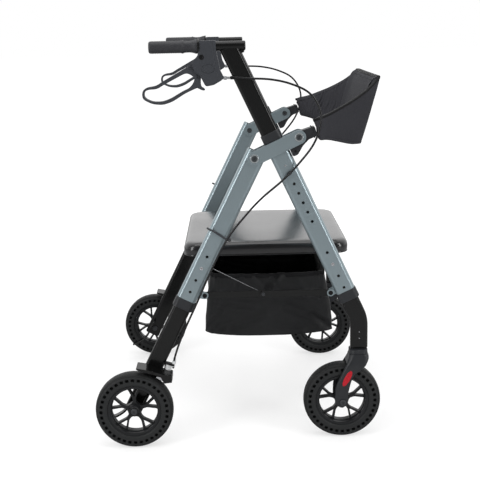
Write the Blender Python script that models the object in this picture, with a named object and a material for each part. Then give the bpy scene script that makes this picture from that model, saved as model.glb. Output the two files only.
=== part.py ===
"""Rollator: a folding walking frame with four wheels, a seat, a bag and a backrest.

Metres, +Z up, +X forward. The right side is at negative Y. Side pieces are drawn with Y
pointing outward, and the right one of each pair is the left one mirrored.
"""

import math

import bmesh
import bpy
from mathutils import Matrix, Vector

# Wheels
WHEEL_RADIUS = 0.095
WHEEL_FACETS = 24
TYRE_WIDTH = 0.040
RIM_RADIUS = 0.0645
RIM_WIDTH = 0.034
RIM_OPENING_RADIUS = 0.054
WEB_THICKNESS = 0.012
HUB_RADIUS = 0.015
HUB_LENGTH = 0.036
AXLE_RADIUS = 0.0048
WHEELBASE = 0.510
SWIVEL_TRAIL = 0.042

# Frame tubes
LEG_Y = 0.299
REAR_WHEEL_OUTWARD = 0.036
REAR_WHEEL_Y = LEG_Y + REAR_WHEEL_OUTWARD
LEG_DEPTH = 0.048
LEG_WIDTH = 0.025
LEG_WALL = 0.0024
LEG_CORNER = 0.011
INNER_WALL = 0.0022
COLLAR_MARGIN = 0.0016
GAP = 0.0003
TOP_PIVOT = (0.3048, 0.700)
REAR_LEG_LEAN = math.atan2(TOP_PIVOT[0], TOP_PIVOT[1] - WHEEL_RADIUS)
REAR_LEG_BOTTOM = 0.298
REAR_LEG_PAST_PIVOT = 0.0161
FRONT_LEG_ORIGIN = (0.3574, 0.724)
FRONT_LEG_TOP = 0.016
FORK_HEIGHT = 0.1312
FORK_GAP = 0.0013
FRONT_LOWER_LEG_FOOT = WHEEL_RADIUS + FORK_HEIGHT + FORK_GAP
FRONT_BEND_HEIGHT = 0.07376
BEND_RADIUS = 0.080
SWIVEL_X = WHEELBASE + SWIVEL_TRAIL
FRONT_LEG_RUN = SWIVEL_X - FRONT_LEG_ORIGIN[0]
FRONT_LEG_DROP = FRONT_LEG_ORIGIN[1] - FRONT_LOWER_LEG_FOOT - FRONT_BEND_HEIGHT
FRONT_LEG_LEAN = -math.atan2(FRONT_LEG_RUN, FRONT_LEG_DROP)
FRONT_LEG_ABOVE_BEND = 0.0794
FRONT_LEG_BOTTOM = FRONT_LEG_ABOVE_BEND - math.hypot(FRONT_LEG_RUN, FRONT_LEG_DROP)
LOWER_LEG_BOTTOM = -0.022
LOWER_LEG_OVERLAP = 0.106
REAR_LOWER_LEG_TOP = REAR_LEG_BOTTOM + LOWER_LEG_OVERLAP
FRONT_LOWER_LEG_TOP = FRONT_LEG_BOTTOM + LOWER_LEG_OVERLAP
LEG_COLLAR_LENGTH = 0.0250
HANDLE_COLLAR_LENGTH = 0.022
HEIGHT_HOLE_RADIUS = 0.0036
HANDLE_HOLES = 5
HANDLE_HOLE_FIRST = -0.0945
HANDLE_HOLE_PITCH = 0.025
LEG_HOLES = 4
LEG_HOLE_PITCH = 0.032
LEG_HOLE_ROW = (LEG_HOLES - 1) * LEG_HOLE_PITCH
FRONT_LEG_HOLE_FIRST = FRONT_LEG_BOTTOM + 0.011 + LEG_HOLE_ROW
REAR_LEG_HOLE_FIRST = REAR_LEG_BOTTOM + 0.0226 + LEG_HOLE_ROW

# Top bracket and backrest
BRACKET_PLATE = 0.004
BRACKET_HALF_DEPTH = 0.0165
BACKREST_PIVOT = (0.4091, 0.7477)
PIVOT_PIN_RADIUS = 0.005

# Handles and brakes
POST_BOTTOM = -0.140
BAR_RADIUS = 0.011
BAR_Z = 0.9584
POST_TOP_DROP = 0.0024
POST_X = FRONT_LEG_ORIGIN[0] + (BAR_Z - FRONT_LEG_ORIGIN[1]) * math.tan(FRONT_LEG_LEAN)
BAR_REAR = POST_X - 0.1755
BAR_FRONT = POST_X + 0.0399
GRIP_PAST_BAR = 0.0054
GRIP_REAR = BAR_REAR - GRIP_PAST_BAR
GRIP_FRONT = POST_X - 0.0695
GRIP_RADIUS = 0.0140
GRIP_RING_X = GRIP_FRONT - 0.0340
HOUSING_WIDTH = 0.026
LEVER_WIDTH = 0.018
LEVER_PIVOT_DROP = 0.0237
LEVER_PIVOT = (POST_X - 0.0607, BAR_Z - LEVER_PIVOT_DROP)
LEVER_PIN_RADIUS = 0.0035
LEVER_SLOT_MARGIN = 0.0005
CABLE_RADIUS = 0.0025
SHOE_PIVOT = (0.0815, 0.1700)

# Folding links and rails
LUG_Z = 0.3695
REAR_LUG_REACH = 0.0404
FRONT_LUG_REACH = 0.0381
REAR_LUG = ((LUG_Z - WHEEL_RADIUS) * math.tan(REAR_LEG_LEAN) + REAR_LUG_REACH, LUG_Z)
FRONT_LUG = (FRONT_LEG_ORIGIN[0] - (FRONT_LEG_ORIGIN[1] - LUG_Z) * math.tan(FRONT_LEG_LEAN)
             - FRONT_LUG_REACH, LUG_Z)
LINK_CENTRE_X = 0.320
LINK_HEIGHT = 0.016
LINK_THICKNESS = 0.004
LUG_RADIUS = 0.009
LINK_PIN_RADIUS = 0.004
RAIL_RADIUS = 0.011
RAIL_WALL = 0.002
RAIL_Z = 0.430
REAR_RAIL_X = (RAIL_Z - WHEEL_RADIUS) * math.tan(REAR_LEG_LEAN)
FRONT_RAIL_X = FRONT_LEG_ORIGIN[0] - (FRONT_LEG_ORIGIN[1] - RAIL_Z) * math.tan(FRONT_LEG_LEAN)

# Seat and bag
SEAT_PAST_REAR_RAIL = 0.0428
SEAT_PAST_FRONT_RAIL = 0.0453
SEAT_REAR = REAR_RAIL_X - SEAT_PAST_REAR_RAIL
SEAT_FRONT = FRONT_RAIL_X + SEAT_PAST_FRONT_RAIL
SEAT_HALF_WIDTH = 0.215
SEAT_RAIL_CLEARANCE = 0.0025
SEAT_THICKNESS = 0.0345
SEAT_BOTTOM = RAIL_Z + RAIL_RADIUS + SEAT_RAIL_CLEARANCE
SEAT_CORNER = 0.032
BAG_HALF_WIDTH = 0.205
BAG_BELOW_RAIL = 0.035
BAG_DEPTH = 0.144
BAG_TOP = RAIL_Z - RAIL_RADIUS - BAG_BELOW_RAIL
BAG_WALL = 0.004
BAG_REAR = REAR_RAIL_X + 0.0172
BAG_FRONT = FRONT_RAIL_X - 0.0067

def clear_scene():
    for item in list(bpy.data.objects):
        bpy.data.objects.remove(item, do_unlink=True)


def centre_lengthways():
    """Shifts everything so that X = 0 is the middle of the object's length."""
    bpy.context.view_layer.update()
    ends = []
    for item in whole.children:
        ends += [(item.matrix_world @ Vector(corner)).x for corner in item.bound_box]
    middle = (min(ends) + max(ends)) / 2
    whole.location = (-middle, 0.0, 0.0)
    print(f"shifted back by {middle:.6f} m")


def material(name, colour, roughness, metallic=0.0):
    mat = bpy.data.materials.new(name)
    mat.use_nodes = True
    shader = mat.node_tree.nodes["Principled BSDF"]
    shader.inputs["Base Color"].default_value = (*colour, 1.0)
    shader.inputs["Roughness"].default_value = roughness
    shader.inputs["Metallic"].default_value = metallic
    mat.diffuse_color = (*colour, 1.0)
    return mat


def add_node(name, bm, mat, location, lean, mirrored, sharp=0.6):
    """Turns a mesh into one named object; location is the origin, lean the turn about Y."""
    if mirrored:
        bmesh.ops.scale(bm, vec=(1.0, -1.0, 1.0), verts=bm.verts)
        bmesh.ops.reverse_faces(bm, faces=bm.faces)
        location = (location[0], -location[1], location[2])
    mesh = bpy.data.meshes.new(name)
    bm.to_mesh(mesh)
    bm.free()
    mesh.materials.append(mat)
    obj = bpy.data.objects.new(name, mesh)
    bpy.context.collection.objects.link(obj)
    obj.location = location
    obj.rotation_euler = (0.0, lean, 0.0)
    obj.parent = whole
    mesh.shade_smooth()
    mesh.set_sharp_from_angle(angle=sharp)
    return obj


def helper(name, bm, host):
    """A hidden shape, drawn in the host's own axes, that a Boolean uses."""
    mesh = bpy.data.meshes.new(name)
    bm.to_mesh(mesh)
    bm.free()
    obj = bpy.data.objects.new(name, mesh)
    bpy.context.collection.objects.link(obj)
    obj.parent = host
    obj.hide_render = True
    obj.display_type = "WIRE"
    return obj


def boolean(host, bm, operation, mirrored):
    if mirrored:
        bmesh.ops.scale(bm, vec=(1.0, -1.0, 1.0), verts=bm.verts)
        bmesh.ops.reverse_faces(bm, faces=bm.faces)
    tool = helper(f"{host.name}_{operation.lower()}_{len(host.modifiers)}", bm, host)
    mod = host.modifiers.new(tool.name, "BOOLEAN")
    mod.operation = operation
    mod.solver = "EXACT"
    mod.object = tool


def bevel(host, width, segments=2, angle=0.9):
    mod = host.modifiers.new("edge", "BEVEL")
    mod.width = width
    mod.segments = segments
    mod.limit_method = "ANGLE"
    mod.angle_limit = angle


def rounded_rectangle(depth, width, corner, steps=3):
    """Outline points (x, y), counter-clockwise, of a rectangle with rounded corners."""
    points = []
    for turn, (sx, sy) in enumerate(((1, 1), (-1, 1), (-1, -1), (1, -1))):
        for step in range(steps + 1):
            angle = math.pi / 2 * (turn + step / steps)
            cx = sx * (depth / 2 - corner)
            cy = sy * (width / 2 - corner)
            points.append((cx + corner * math.cos(angle), cy + corner * math.sin(angle)))
    return points


def ring(bm, matrix, outline):
    return [bm.verts.new(matrix @ Vector((x, y, 0.0))) for x, y in outline]


def join_rings(bm, first, second, flip=False):
    count = len(first)
    for i in range(count):
        j = (i + 1) % count
        face = (first[i], first[j], second[j], second[i])
        bm.faces.new(reversed(face) if flip else face)


def cap(bm, loop):
    bm.faces.new(loop)


def finish(bm):
    bmesh.ops.recalc_face_normals(bm, faces=bm.faces)
    return bm


def swept_solid(frames, outline):
    bm = bmesh.new()
    rings = [ring(bm, frame, outline) for frame in frames]
    for first, second in zip(rings, rings[1:]):
        join_rings(bm, first, second)
    cap(bm, rings[0])
    cap(bm, rings[-1])
    return finish(bm)


def swept_tube(frames, outline, inner):
    """A tube open at both ends."""
    bm = bmesh.new()
    outer_rings = [ring(bm, frame, outline) for frame in frames]
    inner_rings = [ring(bm, frame, inner) for frame in frames]
    for first, second in zip(outer_rings, outer_rings[1:]):
        join_rings(bm, first, second)
    for first, second in zip(inner_rings, inner_rings[1:]):
        join_rings(bm, first, second, flip=True)
    join_rings(bm, outer_rings[0], inner_rings[0])
    join_rings(bm, outer_rings[-1], inner_rings[-1])
    return finish(bm)


def swept_cup(frames, outline, inner, floor):
    """A tube open at its last end, closed at its first; floor is the first hollow frame."""
    bm = bmesh.new()
    outer_rings = [ring(bm, frame, outline) for frame in frames]
    inner_rings = [ring(bm, frame, inner) for frame in frames[floor:]]
    for first, second in zip(outer_rings, outer_rings[1:]):
        join_rings(bm, first, second)
    for first, second in zip(inner_rings, inner_rings[1:]):
        join_rings(bm, first, second)
    cap(bm, outer_rings[0])
    cap(bm, inner_rings[0])
    join_rings(bm, outer_rings[-1], inner_rings[-1])
    return finish(bm)


def prism(outline, y_low, y_high):
    """A plate whose outline (x, z) stands upright, with its thickness along Y."""
    bm = bmesh.new()
    low = [bm.verts.new((x, y_low, z)) for x, z in outline]
    high = [bm.verts.new((x, y_high, z)) for x, z in outline]
    join_rings(bm, low, high)
    cap(bm, low)
    cap(bm, high)
    return finish(bm)


def turned(profile, axis, facets, centre=(0.0, 0.0, 0.0)):
    """A closed profile (radius, along) turned round an axis; a facet faces down."""
    bm = bmesh.new()
    grow = 1.0 / math.cos(math.pi / facets)
    rings = []
    for radius, along in profile:
        loop = []
        for i in range(facets):
            angle = 2 * math.pi * (i + 0.5) / facets
            a = radius * grow * math.sin(angle)
            b = radius * grow * math.cos(angle)
            point = {"X": (along, a, b), "Y": (a, along, b), "Z": (a, b, along)}[axis]
            loop.append(bm.verts.new(Vector(centre) + Vector(point)))
        rings.append(loop)
    for first, second in zip(rings, rings[1:]):
        join_rings(bm, first, second)
    return bm, rings


def turned_ring(profile, axis, facets):
    """A turned body with a hole along its axis: the profile closes on itself."""
    bm, rings = turned(profile, axis, facets)
    join_rings(bm, rings[-1], rings[0])
    return finish(bm)


def turned_solid(profile, axis, facets, centre=(0.0, 0.0, 0.0)):
    bm, rings = turned(profile, axis, facets, centre)
    cap(bm, rings[0])
    cap(bm, rings[-1])
    return finish(bm)


def rod(radius, low, high, axis="Y", facets=12, centre=(0.0, 0.0, 0.0)):
    return turned_solid([(radius, low), (radius, high)], axis, facets, centre)


def along_z(low, high):
    return [Matrix.Translation((0.0, 0.0, z)) for z in (low, high)]


def upright(x, z, lean):
    """A frame whose Z axis leans by the given angle about Y."""
    return Matrix.Translation((x, 0.0, z)) @ Matrix.Rotation(lean, 4, "Y")


def offset_outline(outline, origin):
    return [(x - origin[0], z - origin[1]) for x, z in outline]


def arc(cx, cz, radius, start, end, steps):
    points = []
    for i in range(steps + 1):
        angle = math.radians(start + (end - start) * i / steps)
        points.append((cx + radius * math.cos(angle), cz + radius * math.sin(angle)))
    return points


def in_leg(point, origin, lean):
    """A point (x, z) of the whole object in the axes of a leaning leg."""
    dx = point[0] - origin[0]
    dz = point[1] - origin[1]
    return (
        dx * math.cos(lean) - dz * math.sin(lean),
        dx * math.sin(lean) + dz * math.cos(lean),
    )


def leg_outline(shrink=0.0):
    return rounded_rectangle(
        LEG_DEPTH - 2 * shrink, LEG_WIDTH - 2 * shrink, LEG_CORNER - shrink
    )




def row_of_holes(first, pitch, count):
    """Short round cutters through the leg's outer wall."""
    bm = bmesh.new()
    for i in range(count):
        piece = rod(
            HEIGHT_HOLE_RADIUS,
            LEG_WIDTH / 2 - 2 * LEG_WALL,
            LEG_WIDTH / 2 + LEG_WALL,
            facets=8,
            centre=(0.0, 0.0, first - i * pitch),
        )
        temporary = bpy.data.meshes.new("hole")
        piece.to_mesh(temporary)
        piece.free()
        bm.from_mesh(temporary)
        bpy.data.meshes.remove(temporary)
    return bm


def lug(point, leg_edge, y_low, y_high, origin, lean):
    """An ear welded to a leg's edge, in the leg's axes, with its rounded end on a point."""
    x, z = in_leg(point, origin, lean)
    side = 1 if x > leg_edge else -1
    outline = [(leg_edge, z - LUG_RADIUS), (leg_edge, z + LUG_RADIUS)]
    if side > 0:
        outline = [(leg_edge, z - LUG_RADIUS)] + arc(x, z, LUG_RADIUS, -90, 90, 6)
        outline.append((leg_edge, z + LUG_RADIUS))
    else:
        outline = [(leg_edge, z + LUG_RADIUS)] + arc(x, z, LUG_RADIUS, 90, 270, 6)
        outline.append((leg_edge, z - LUG_RADIUS))
    return prism(outline, y_low, y_high), (x, z)


# Link planes: the front bar lies outside the front ear and outside the rear bar.
INNER_PLANE = (LEG_Y - 0.0013, LEG_Y + 0.0027)
OUTER_PLANE = (INNER_PLANE[1] + GAP, INNER_PLANE[1] + GAP + LINK_THICKNESS)
WELD_DEPTH = 0.0019


def rear_leg(side, mirrored, mat):
    origin = (0.0, WHEEL_RADIUS)
    pivot = in_leg(TOP_PIVOT, origin, REAR_LEG_LEAN)
    frames = along_z(REAR_LEG_BOTTOM, pivot[1] + REAR_LEG_PAST_PIVOT)
    bm = swept_tube(frames, leg_outline(), leg_outline(LEG_WALL))
    leg = add_node(f"rear_leg_{side}", bm, mat, (0, LEG_Y, WHEEL_RADIUS), REAR_LEG_LEAN, mirrored)
    boolean(leg, row_of_holes(REAR_LEG_HOLE_FIRST, LEG_HOLE_PITCH, LEG_HOLES),
            "DIFFERENCE", mirrored)
    bore = rod(PIVOT_PIN_RADIUS + GAP, -LEG_WIDTH, LEG_WIDTH, centre=(pivot[0], 0, pivot[1]))
    boolean(leg, bore, "DIFFERENCE", mirrored)
    y_low, y_high = (y - LEG_Y for y in OUTER_PLANE)
    ear, (x, z) = lug(REAR_LUG, LEG_DEPTH / 2 - WELD_DEPTH, y_low, y_high, origin, REAR_LEG_LEAN)
    boolean(leg, ear, "UNION", mirrored)
    inner_low = INNER_PLANE[0] - LEG_Y - GAP
    pin = rod(LINK_PIN_RADIUS, inner_low, y_high - GAP, centre=(x, 0, z))
    boolean(leg, pin, "UNION", mirrored)
    return leg


def front_leg(side, mirrored, mat):
    frames = along_z(FRONT_LEG_BOTTOM, FRONT_LEG_TOP)
    bm = swept_tube(frames, leg_outline(), leg_outline(LEG_WALL))
    x, z = FRONT_LEG_ORIGIN
    leg = add_node(f"front_leg_{side}", bm, mat, (x, LEG_Y, z), FRONT_LEG_LEAN, mirrored)
    boolean(leg, row_of_holes(HANDLE_HOLE_FIRST, HANDLE_HOLE_PITCH, HANDLE_HOLES),
            "DIFFERENCE", mirrored)
    boolean(leg, row_of_holes(FRONT_LEG_HOLE_FIRST, LEG_HOLE_PITCH, LEG_HOLES),
            "DIFFERENCE", mirrored)
    y_low, y_high = (y - LEG_Y for y in INNER_PLANE)
    ear, (x, z) = lug(FRONT_LUG, -LEG_DEPTH / 2 + WELD_DEPTH, y_low, y_high,
                      FRONT_LEG_ORIGIN, FRONT_LEG_LEAN)
    boolean(leg, ear, "UNION", mirrored)
    outer_high = OUTER_PLANE[1] - LEG_Y + GAP
    pin = rod(LINK_PIN_RADIUS, y_low + GAP, outer_high, centre=(x, 0, z))
    boolean(leg, pin, "UNION", mirrored)
    return leg


def sleeve(name, low, high, margin, origin, lean, mirrored, mat):
    """A collar at the end of a leg, bored for the inner tube."""
    bm = swept_tube(along_z(low, high), leg_outline(-margin), leg_outline(LEG_WALL))
    return add_node(name, bm, mat, (origin[0], LEG_Y, origin[1]), lean, mirrored)


def inner_outlines():
    shrink = LEG_WALL + GAP
    return leg_outline(shrink), leg_outline(shrink + INNER_WALL)


def rear_lower_leg(side, mirrored, mat):
    outer, inner = inner_outlines()
    floor_z = LOWER_LEG_BOTTOM + 0.045
    heights = (LOWER_LEG_BOTTOM, floor_z, REAR_LOWER_LEG_TOP)
    frames = [Matrix.Translation((0.0, 0.0, z)) for z in heights]
    bm = swept_cup(frames, outer, inner, 1)
    leg = add_node(f"rear_lower_leg_{side}", bm, mat, (0, LEG_Y, WHEEL_RADIUS),
                   REAR_LEG_LEAN, mirrored)
    bore = rod(AXLE_RADIUS + GAP, -LEG_WIDTH, LEG_WIDTH)
    boolean(leg, bore, "DIFFERENCE", mirrored)
    return leg


def front_lower_leg(side, mirrored, mat):
    """Runs down inside the front leg, then bends upright over the caster."""
    outer, inner = inner_outlines()
    swivel_x = SWIVEL_X
    lean = FRONT_LEG_LEAN
    x0, z0 = FRONT_LEG_ORIGIN
    meet = math.hypot(FRONT_LEG_RUN, FRONT_LEG_DROP)
    meet_z = z0 - FRONT_LEG_DROP
    tangent = BEND_RADIUS * math.tan(-lean / 2)
    top = -FRONT_LOWER_LEG_TOP
    frames = []
    for s in (top, meet - tangent):
        frames.append(upright(x0 + s * math.sin(-lean), z0 - s * math.cos(lean), lean))
    centre_x = swivel_x - BEND_RADIUS
    for step in range(1, 5):
        angle = lean * (1 - step / 4)
        x = centre_x + BEND_RADIUS * math.cos(angle)
        z = meet_z - tangent - BEND_RADIUS * math.sin(angle)
        frames.append(upright(x, z, angle))
    foot = FRONT_LOWER_LEG_FOOT
    frames.append(upright(swivel_x, foot + 0.035, 0.0))
    frames.append(upright(swivel_x, foot, 0.0))
    frames.reverse()
    for frame in frames:
        frame.translation -= Vector((swivel_x, 0.0, foot))
    bm = swept_cup(frames, outer, inner, 1)
    leg = add_node(f"front_lower_leg_{side}", bm, mat, (swivel_x, LEG_Y, foot), 0.0, mirrored)
    bore = rod(STEM_RADIUS + GAP, -0.02, 0.05, axis="Z")
    boolean(leg, bore, "DIFFERENCE", mirrored)
    return leg


STEM_RADIUS = 0.006
STEM_LENGTH = 0.030
FORK_HALF_WIDTH = 0.031
FORK_ARM = 0.006
FORK_TYRE_CLEARANCE = 0.0035
# From the front axle: (forward, up)
FORK_OUTLINE = (
    (0.0180, FORK_HEIGHT), (0.0140, 0.1072), (0.0018, 0.0818), (-0.0115, 0.0537),
    (-0.0189, 0.0279), (-0.0189, -0.0020), (-0.0155, -0.0090), (-0.0080, -0.0135),
    (0.0010, -0.0135), (0.0085, -0.0100), (0.0122, -0.0020), (0.0130, 0.0140), (0.0178, 0.0400),
    (0.0310, 0.0707), (0.0528, 0.0881), (0.0636, 0.1058), (0.0647, 0.1161), (0.0620, FORK_HEIGHT),
)


def caster_fork(side, mirrored, mat):
    swivel = (SWIVEL_X, FRONT_LOWER_LEG_FOOT - GAP)
    wheel = (-SWIVEL_TRAIL, WHEEL_RADIUS - swivel[1])
    outline = [(x + wheel[0], z + wheel[1]) for x, z in FORK_OUTLINE]
    bm = prism(outline, -FORK_HALF_WIDTH, FORK_HALF_WIDTH)
    fork = add_node(f"caster_fork_{side}", bm, mat, (swivel[0], LEG_Y, swivel[1]), 0.0, mirrored)
    inside = FORK_HALF_WIDTH - FORK_ARM
    clearance = WHEEL_RADIUS + FORK_TYRE_CLEARANCE
    boolean(fork, turned_solid([(clearance, -inside), (clearance, inside)], "Y", 32,
                               (wheel[0], 0, wheel[1])), "DIFFERENCE", mirrored)
    boolean(fork, rod(AXLE_RADIUS + GAP, -0.05, 0.05, centre=(wheel[0], 0, wheel[1])),
            "DIFFERENCE", mirrored)
    boolean(fork, rod(STEM_RADIUS, -0.004, STEM_LENGTH, axis="Z"), "UNION", mirrored)
    bevel(fork, 0.0015, 1, 1.2)
    return fork


def axle(name, x, y, low, high, mirrored, mat):
    """A shoulder bolt: a thin shaft with a head at each end."""
    head = 0.008
    thick = 0.004
    bm = turned_solid(
        [(head, low - thick), (head, low), (AXLE_RADIUS, low), (AXLE_RADIUS, high),
         (head, high), (head, high + thick)],
        "Y", 12,
    )
    return add_node(name, bm, mat, (x, y, WHEEL_RADIUS), 0.0, mirrored)


def rim(name, x, y, mirrored, mat):
    """Rim ring, five forked spokes and hub in one moulding."""
    web = WEB_THICKNESS / 2
    half = RIM_WIDTH / 2
    hub = HUB_LENGTH / 2
    bore = AXLE_RADIUS + GAP
    bm = turned_ring(
        [(bore, -hub), (HUB_RADIUS, -hub), (HUB_RADIUS, -web), (RIM_OPENING_RADIUS, -web),
         (RIM_OPENING_RADIUS + 0.002, -half), (RIM_RADIUS, -half), (RIM_RADIUS, half),
         (RIM_OPENING_RADIUS + 0.002, half), (RIM_OPENING_RADIUS, web), (HUB_RADIUS, web),
         (HUB_RADIUS, hub), (bore, hub)],
        "Y", WHEEL_FACETS,
    )
    wheel = add_node(name, bm, mat, (x, y, WHEEL_RADIUS), 0.0, mirrored)
    cutter = bmesh.new()
    outer = RIM_OPENING_RADIUS - 0.001
    for i in range(5):
        for middle, shape in (
            (-90 + 72 * i, ((0.024, -26), (outer, -20), (outer, 0), (outer, 20), (0.024, 26),
                            (0.019, 0))),
            (-54 + 72 * i, ((0.036, 0), (outer, -9), (outer, 9))),
        ):
            points = []
            for radius, turn in shape:
                angle = math.radians(middle + turn)
                points.append((radius * math.cos(angle), radius * math.sin(angle)))
            piece = prism(points, -half, half)
            temporary = bpy.data.meshes.new("opening")
            piece.to_mesh(temporary)
            piece.free()
            cutter.from_mesh(temporary)
            bpy.data.meshes.remove(temporary)
    boolean(wheel, cutter, "DIFFERENCE", mirrored)
    return wheel


def tyre(name, x, y, mirrored, mat):
    half = TYRE_WIDTH / 2
    bore = RIM_RADIUS + GAP
    bm = turned_ring(
        [(bore, -half + 0.003), (0.070, -half), (0.086, -half), (WHEEL_RADIUS, -half + 0.007),
         (WHEEL_RADIUS, half - 0.007), (0.086, half), (0.070, half), (bore, half - 0.003)],
        "Y", WHEEL_FACETS,
    )
    return add_node(name, bm, mat, (x, y, WHEEL_RADIUS), 0.0, mirrored)


def top_bracket(side, mirrored, mat):
    """Two plates over the legs, held together by the two pivot pins."""
    dx = BACKREST_PIVOT[0] - TOP_PIVOT[0]
    dz = BACKREST_PIVOT[1] - TOP_PIVOT[1]
    length = math.hypot(dx, dz)
    rise = math.atan2(dz, dx)
    depth = BRACKET_HALF_DEPTH
    outline = arc(0, 0, depth, 90, 270, 8) + arc(length, 0, depth, -90, 90, 8)
    inside = LEG_WIDTH / 2 + GAP
    outside = inside + BRACKET_PLATE
    bm = prism(outline, inside, outside)
    bracket = add_node(f"top_bracket_{side}", bm, mat, (TOP_PIVOT[0], LEG_Y, TOP_PIVOT[1]),
                       -rise, mirrored)
    boolean(bracket, prism(outline, -outside, -inside), "UNION", mirrored)
    for x in (0.0, length):
        pin = rod(PIVOT_PIN_RADIUS, -inside - 0.001, inside + 0.001, centre=(x, 0, 0))
        boolean(bracket, pin, "UNION", mirrored)
    return bracket


def handle_post(side, mirrored, mat):
    """The inner tube of the handle with the bar across its top, welded into one."""
    outer, inner = inner_outlines()
    x0, z0 = FRONT_LEG_ORIGIN
    top = (BAR_Z - POST_TOP_DROP - z0) / math.cos(FRONT_LEG_LEAN)
    bm = swept_tube(along_z(POST_BOTTOM, top), outer, inner)
    post = add_node(f"handle_post_{side}", bm, mat, (x0, LEG_Y, z0), FRONT_LEG_LEAN, mirrored)
    corners = ((BAR_REAR, BAR_Z), (BAR_FRONT, BAR_Z))
    (xa, za), (xb, zb) = (in_leg(corner, FRONT_LEG_ORIGIN, FRONT_LEG_LEAN) for corner in corners)
    bar = rod(BAR_RADIUS, 0.0, BAR_FRONT - BAR_REAR, axis="X", facets=16)
    turn = Matrix.Translation((xa, 0, za)) @ Matrix.Rotation(-math.atan2(zb - za, xb - xa), 4, "Y")
    bmesh.ops.transform(bar, matrix=turn, verts=bar.verts)
    boolean(post, bar, "UNION", mirrored)
    return post


def grip(side, mirrored, mat):
    bore = BAR_RADIUS + GAP
    length = GRIP_FRONT - GRIP_REAR
    ring_at = GRIP_RING_X - GRIP_REAR
    bm = bmesh.new()
    outer = [(0.010, 0.0), (GRIP_RADIUS - 0.001, 0.0025), (GRIP_RADIUS, 0.008),
             (GRIP_RADIUS, ring_at - 0.002), (GRIP_RADIUS + 0.001, ring_at),
             (GRIP_RADIUS, ring_at + 0.002), (GRIP_RADIUS, length - 0.009),
             (GRIP_RADIUS + 0.002, length - 0.004), (GRIP_RADIUS + 0.002, length)]
    cup = outer + [(bore, length), (bore, BAR_REAR - GRIP_REAR - GAP)]
    bm = turned_solid(cup, "X", 16)
    return add_node(f"grip_{side}", bm, mat, (GRIP_REAR, LEG_Y, BAR_Z), 0.0, mirrored)


# From the lever's pivot: (forward, up)
HOUSING_OUTLINE = (
    (-0.0041, 0.0365), (0.0332, 0.0365), (0.0338, 0.0152), (0.0377, -0.0071), (0.0416, -0.0297),
    (0.0470, -0.0410), (0.0503, -0.0479), (0.0444, -0.0534), (0.0270, -0.0631), (0.0109, -0.0661),
    (0.0064, -0.0638), (-0.0044, -0.0421), (-0.0155, -0.0351), (-0.0239, -0.0135),
    (-0.0086, 0.0040),
)
SLOT_OUTLINE = (
    (-0.0388, 0.0088), (0.0042, 0.0088), (0.0088, 0.0038), (0.0097, -0.0037), (0.0272, -0.0657),
    (0.0312, -0.0747), (-0.0388, -0.0747),
)


def brake_housing(side, mirrored, mat):
    half = HOUSING_WIDTH / 2
    bm = prism(HOUSING_OUTLINE, -half, half)
    housing = add_node(f"brake_housing_{side}", bm, mat, (LEVER_PIVOT[0], LEG_Y, LEVER_PIVOT[1]),
                       0.0, mirrored)
    bevel(housing, 0.002, 1, 1.2)
    centre = (0.0, 0.0, BAR_Z - LEVER_PIVOT[1])
    boolean(housing, rod(BAR_RADIUS + GAP, -0.05, 0.06, axis="X", facets=16, centre=centre),
            "DIFFERENCE", mirrored)
    slot = LEVER_WIDTH / 2 + LEVER_SLOT_MARGIN
    boolean(housing, prism(SLOT_OUTLINE, -slot, slot),
            "DIFFERENCE", mirrored)
    boolean(housing, rod(LEVER_PIN_RADIUS, -slot - 0.001, slot + 0.001), "UNION", mirrored)
    return housing


LEVER_OUTER = (
    (-0.0047, 0.0061), (-0.0274, -0.0184), (-0.0930, -0.0543), (-0.1070, -0.0631),
    (-0.1273, -0.0655), (-0.1363, -0.0717), (-0.1387, -0.0803), (-0.1380, -0.0893),
    (-0.1334, -0.0951), (-0.1153, -0.1041), (-0.0913, -0.1063), (-0.0694, -0.0994),
    (-0.0388, -0.0807), (-0.0114, -0.0688), (-0.0096, -0.0705), (0.0012, -0.0757),
    (0.0067, -0.0747), (0.0042, -0.0709), (-0.0028, -0.0667), (-0.0038, -0.0547),
    (-0.0008, -0.0347), (0.0062, -0.0057), (0.0074, 0.0008), (0.0052, 0.0055), (0.0002, 0.0075),
)
LEVER_LOOP = (
    (-0.0357, -0.0343), (-0.0892, -0.0612), (-0.1035, -0.0701), (-0.1240, -0.0706),
    (-0.1330, -0.0754), (-0.1343, -0.0847), (-0.1296, -0.0917), (-0.1146, -0.0985),
    (-0.0933, -0.0991), (-0.0733, -0.0922), (-0.0448, -0.0757), (-0.0286, -0.0693),
    (-0.0165, -0.0514), (-0.0207, -0.0422),
)


def brake_lever(side, mirrored, mat):
    half = LEVER_WIDTH / 2
    bm = prism(LEVER_OUTER, -half, half)
    lever = add_node(f"brake_lever_{side}", bm, mat, (LEVER_PIVOT[0], LEG_Y, LEVER_PIVOT[1]),
                     0.0, mirrored)
    wide = LEVER_WIDTH
    boolean(lever, prism(LEVER_LOOP, -wide, wide),
            "DIFFERENCE", mirrored)
    boolean(lever, rod(LEVER_PIN_RADIUS + GAP, -wide, wide), "DIFFERENCE", mirrored)
    return lever


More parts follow.
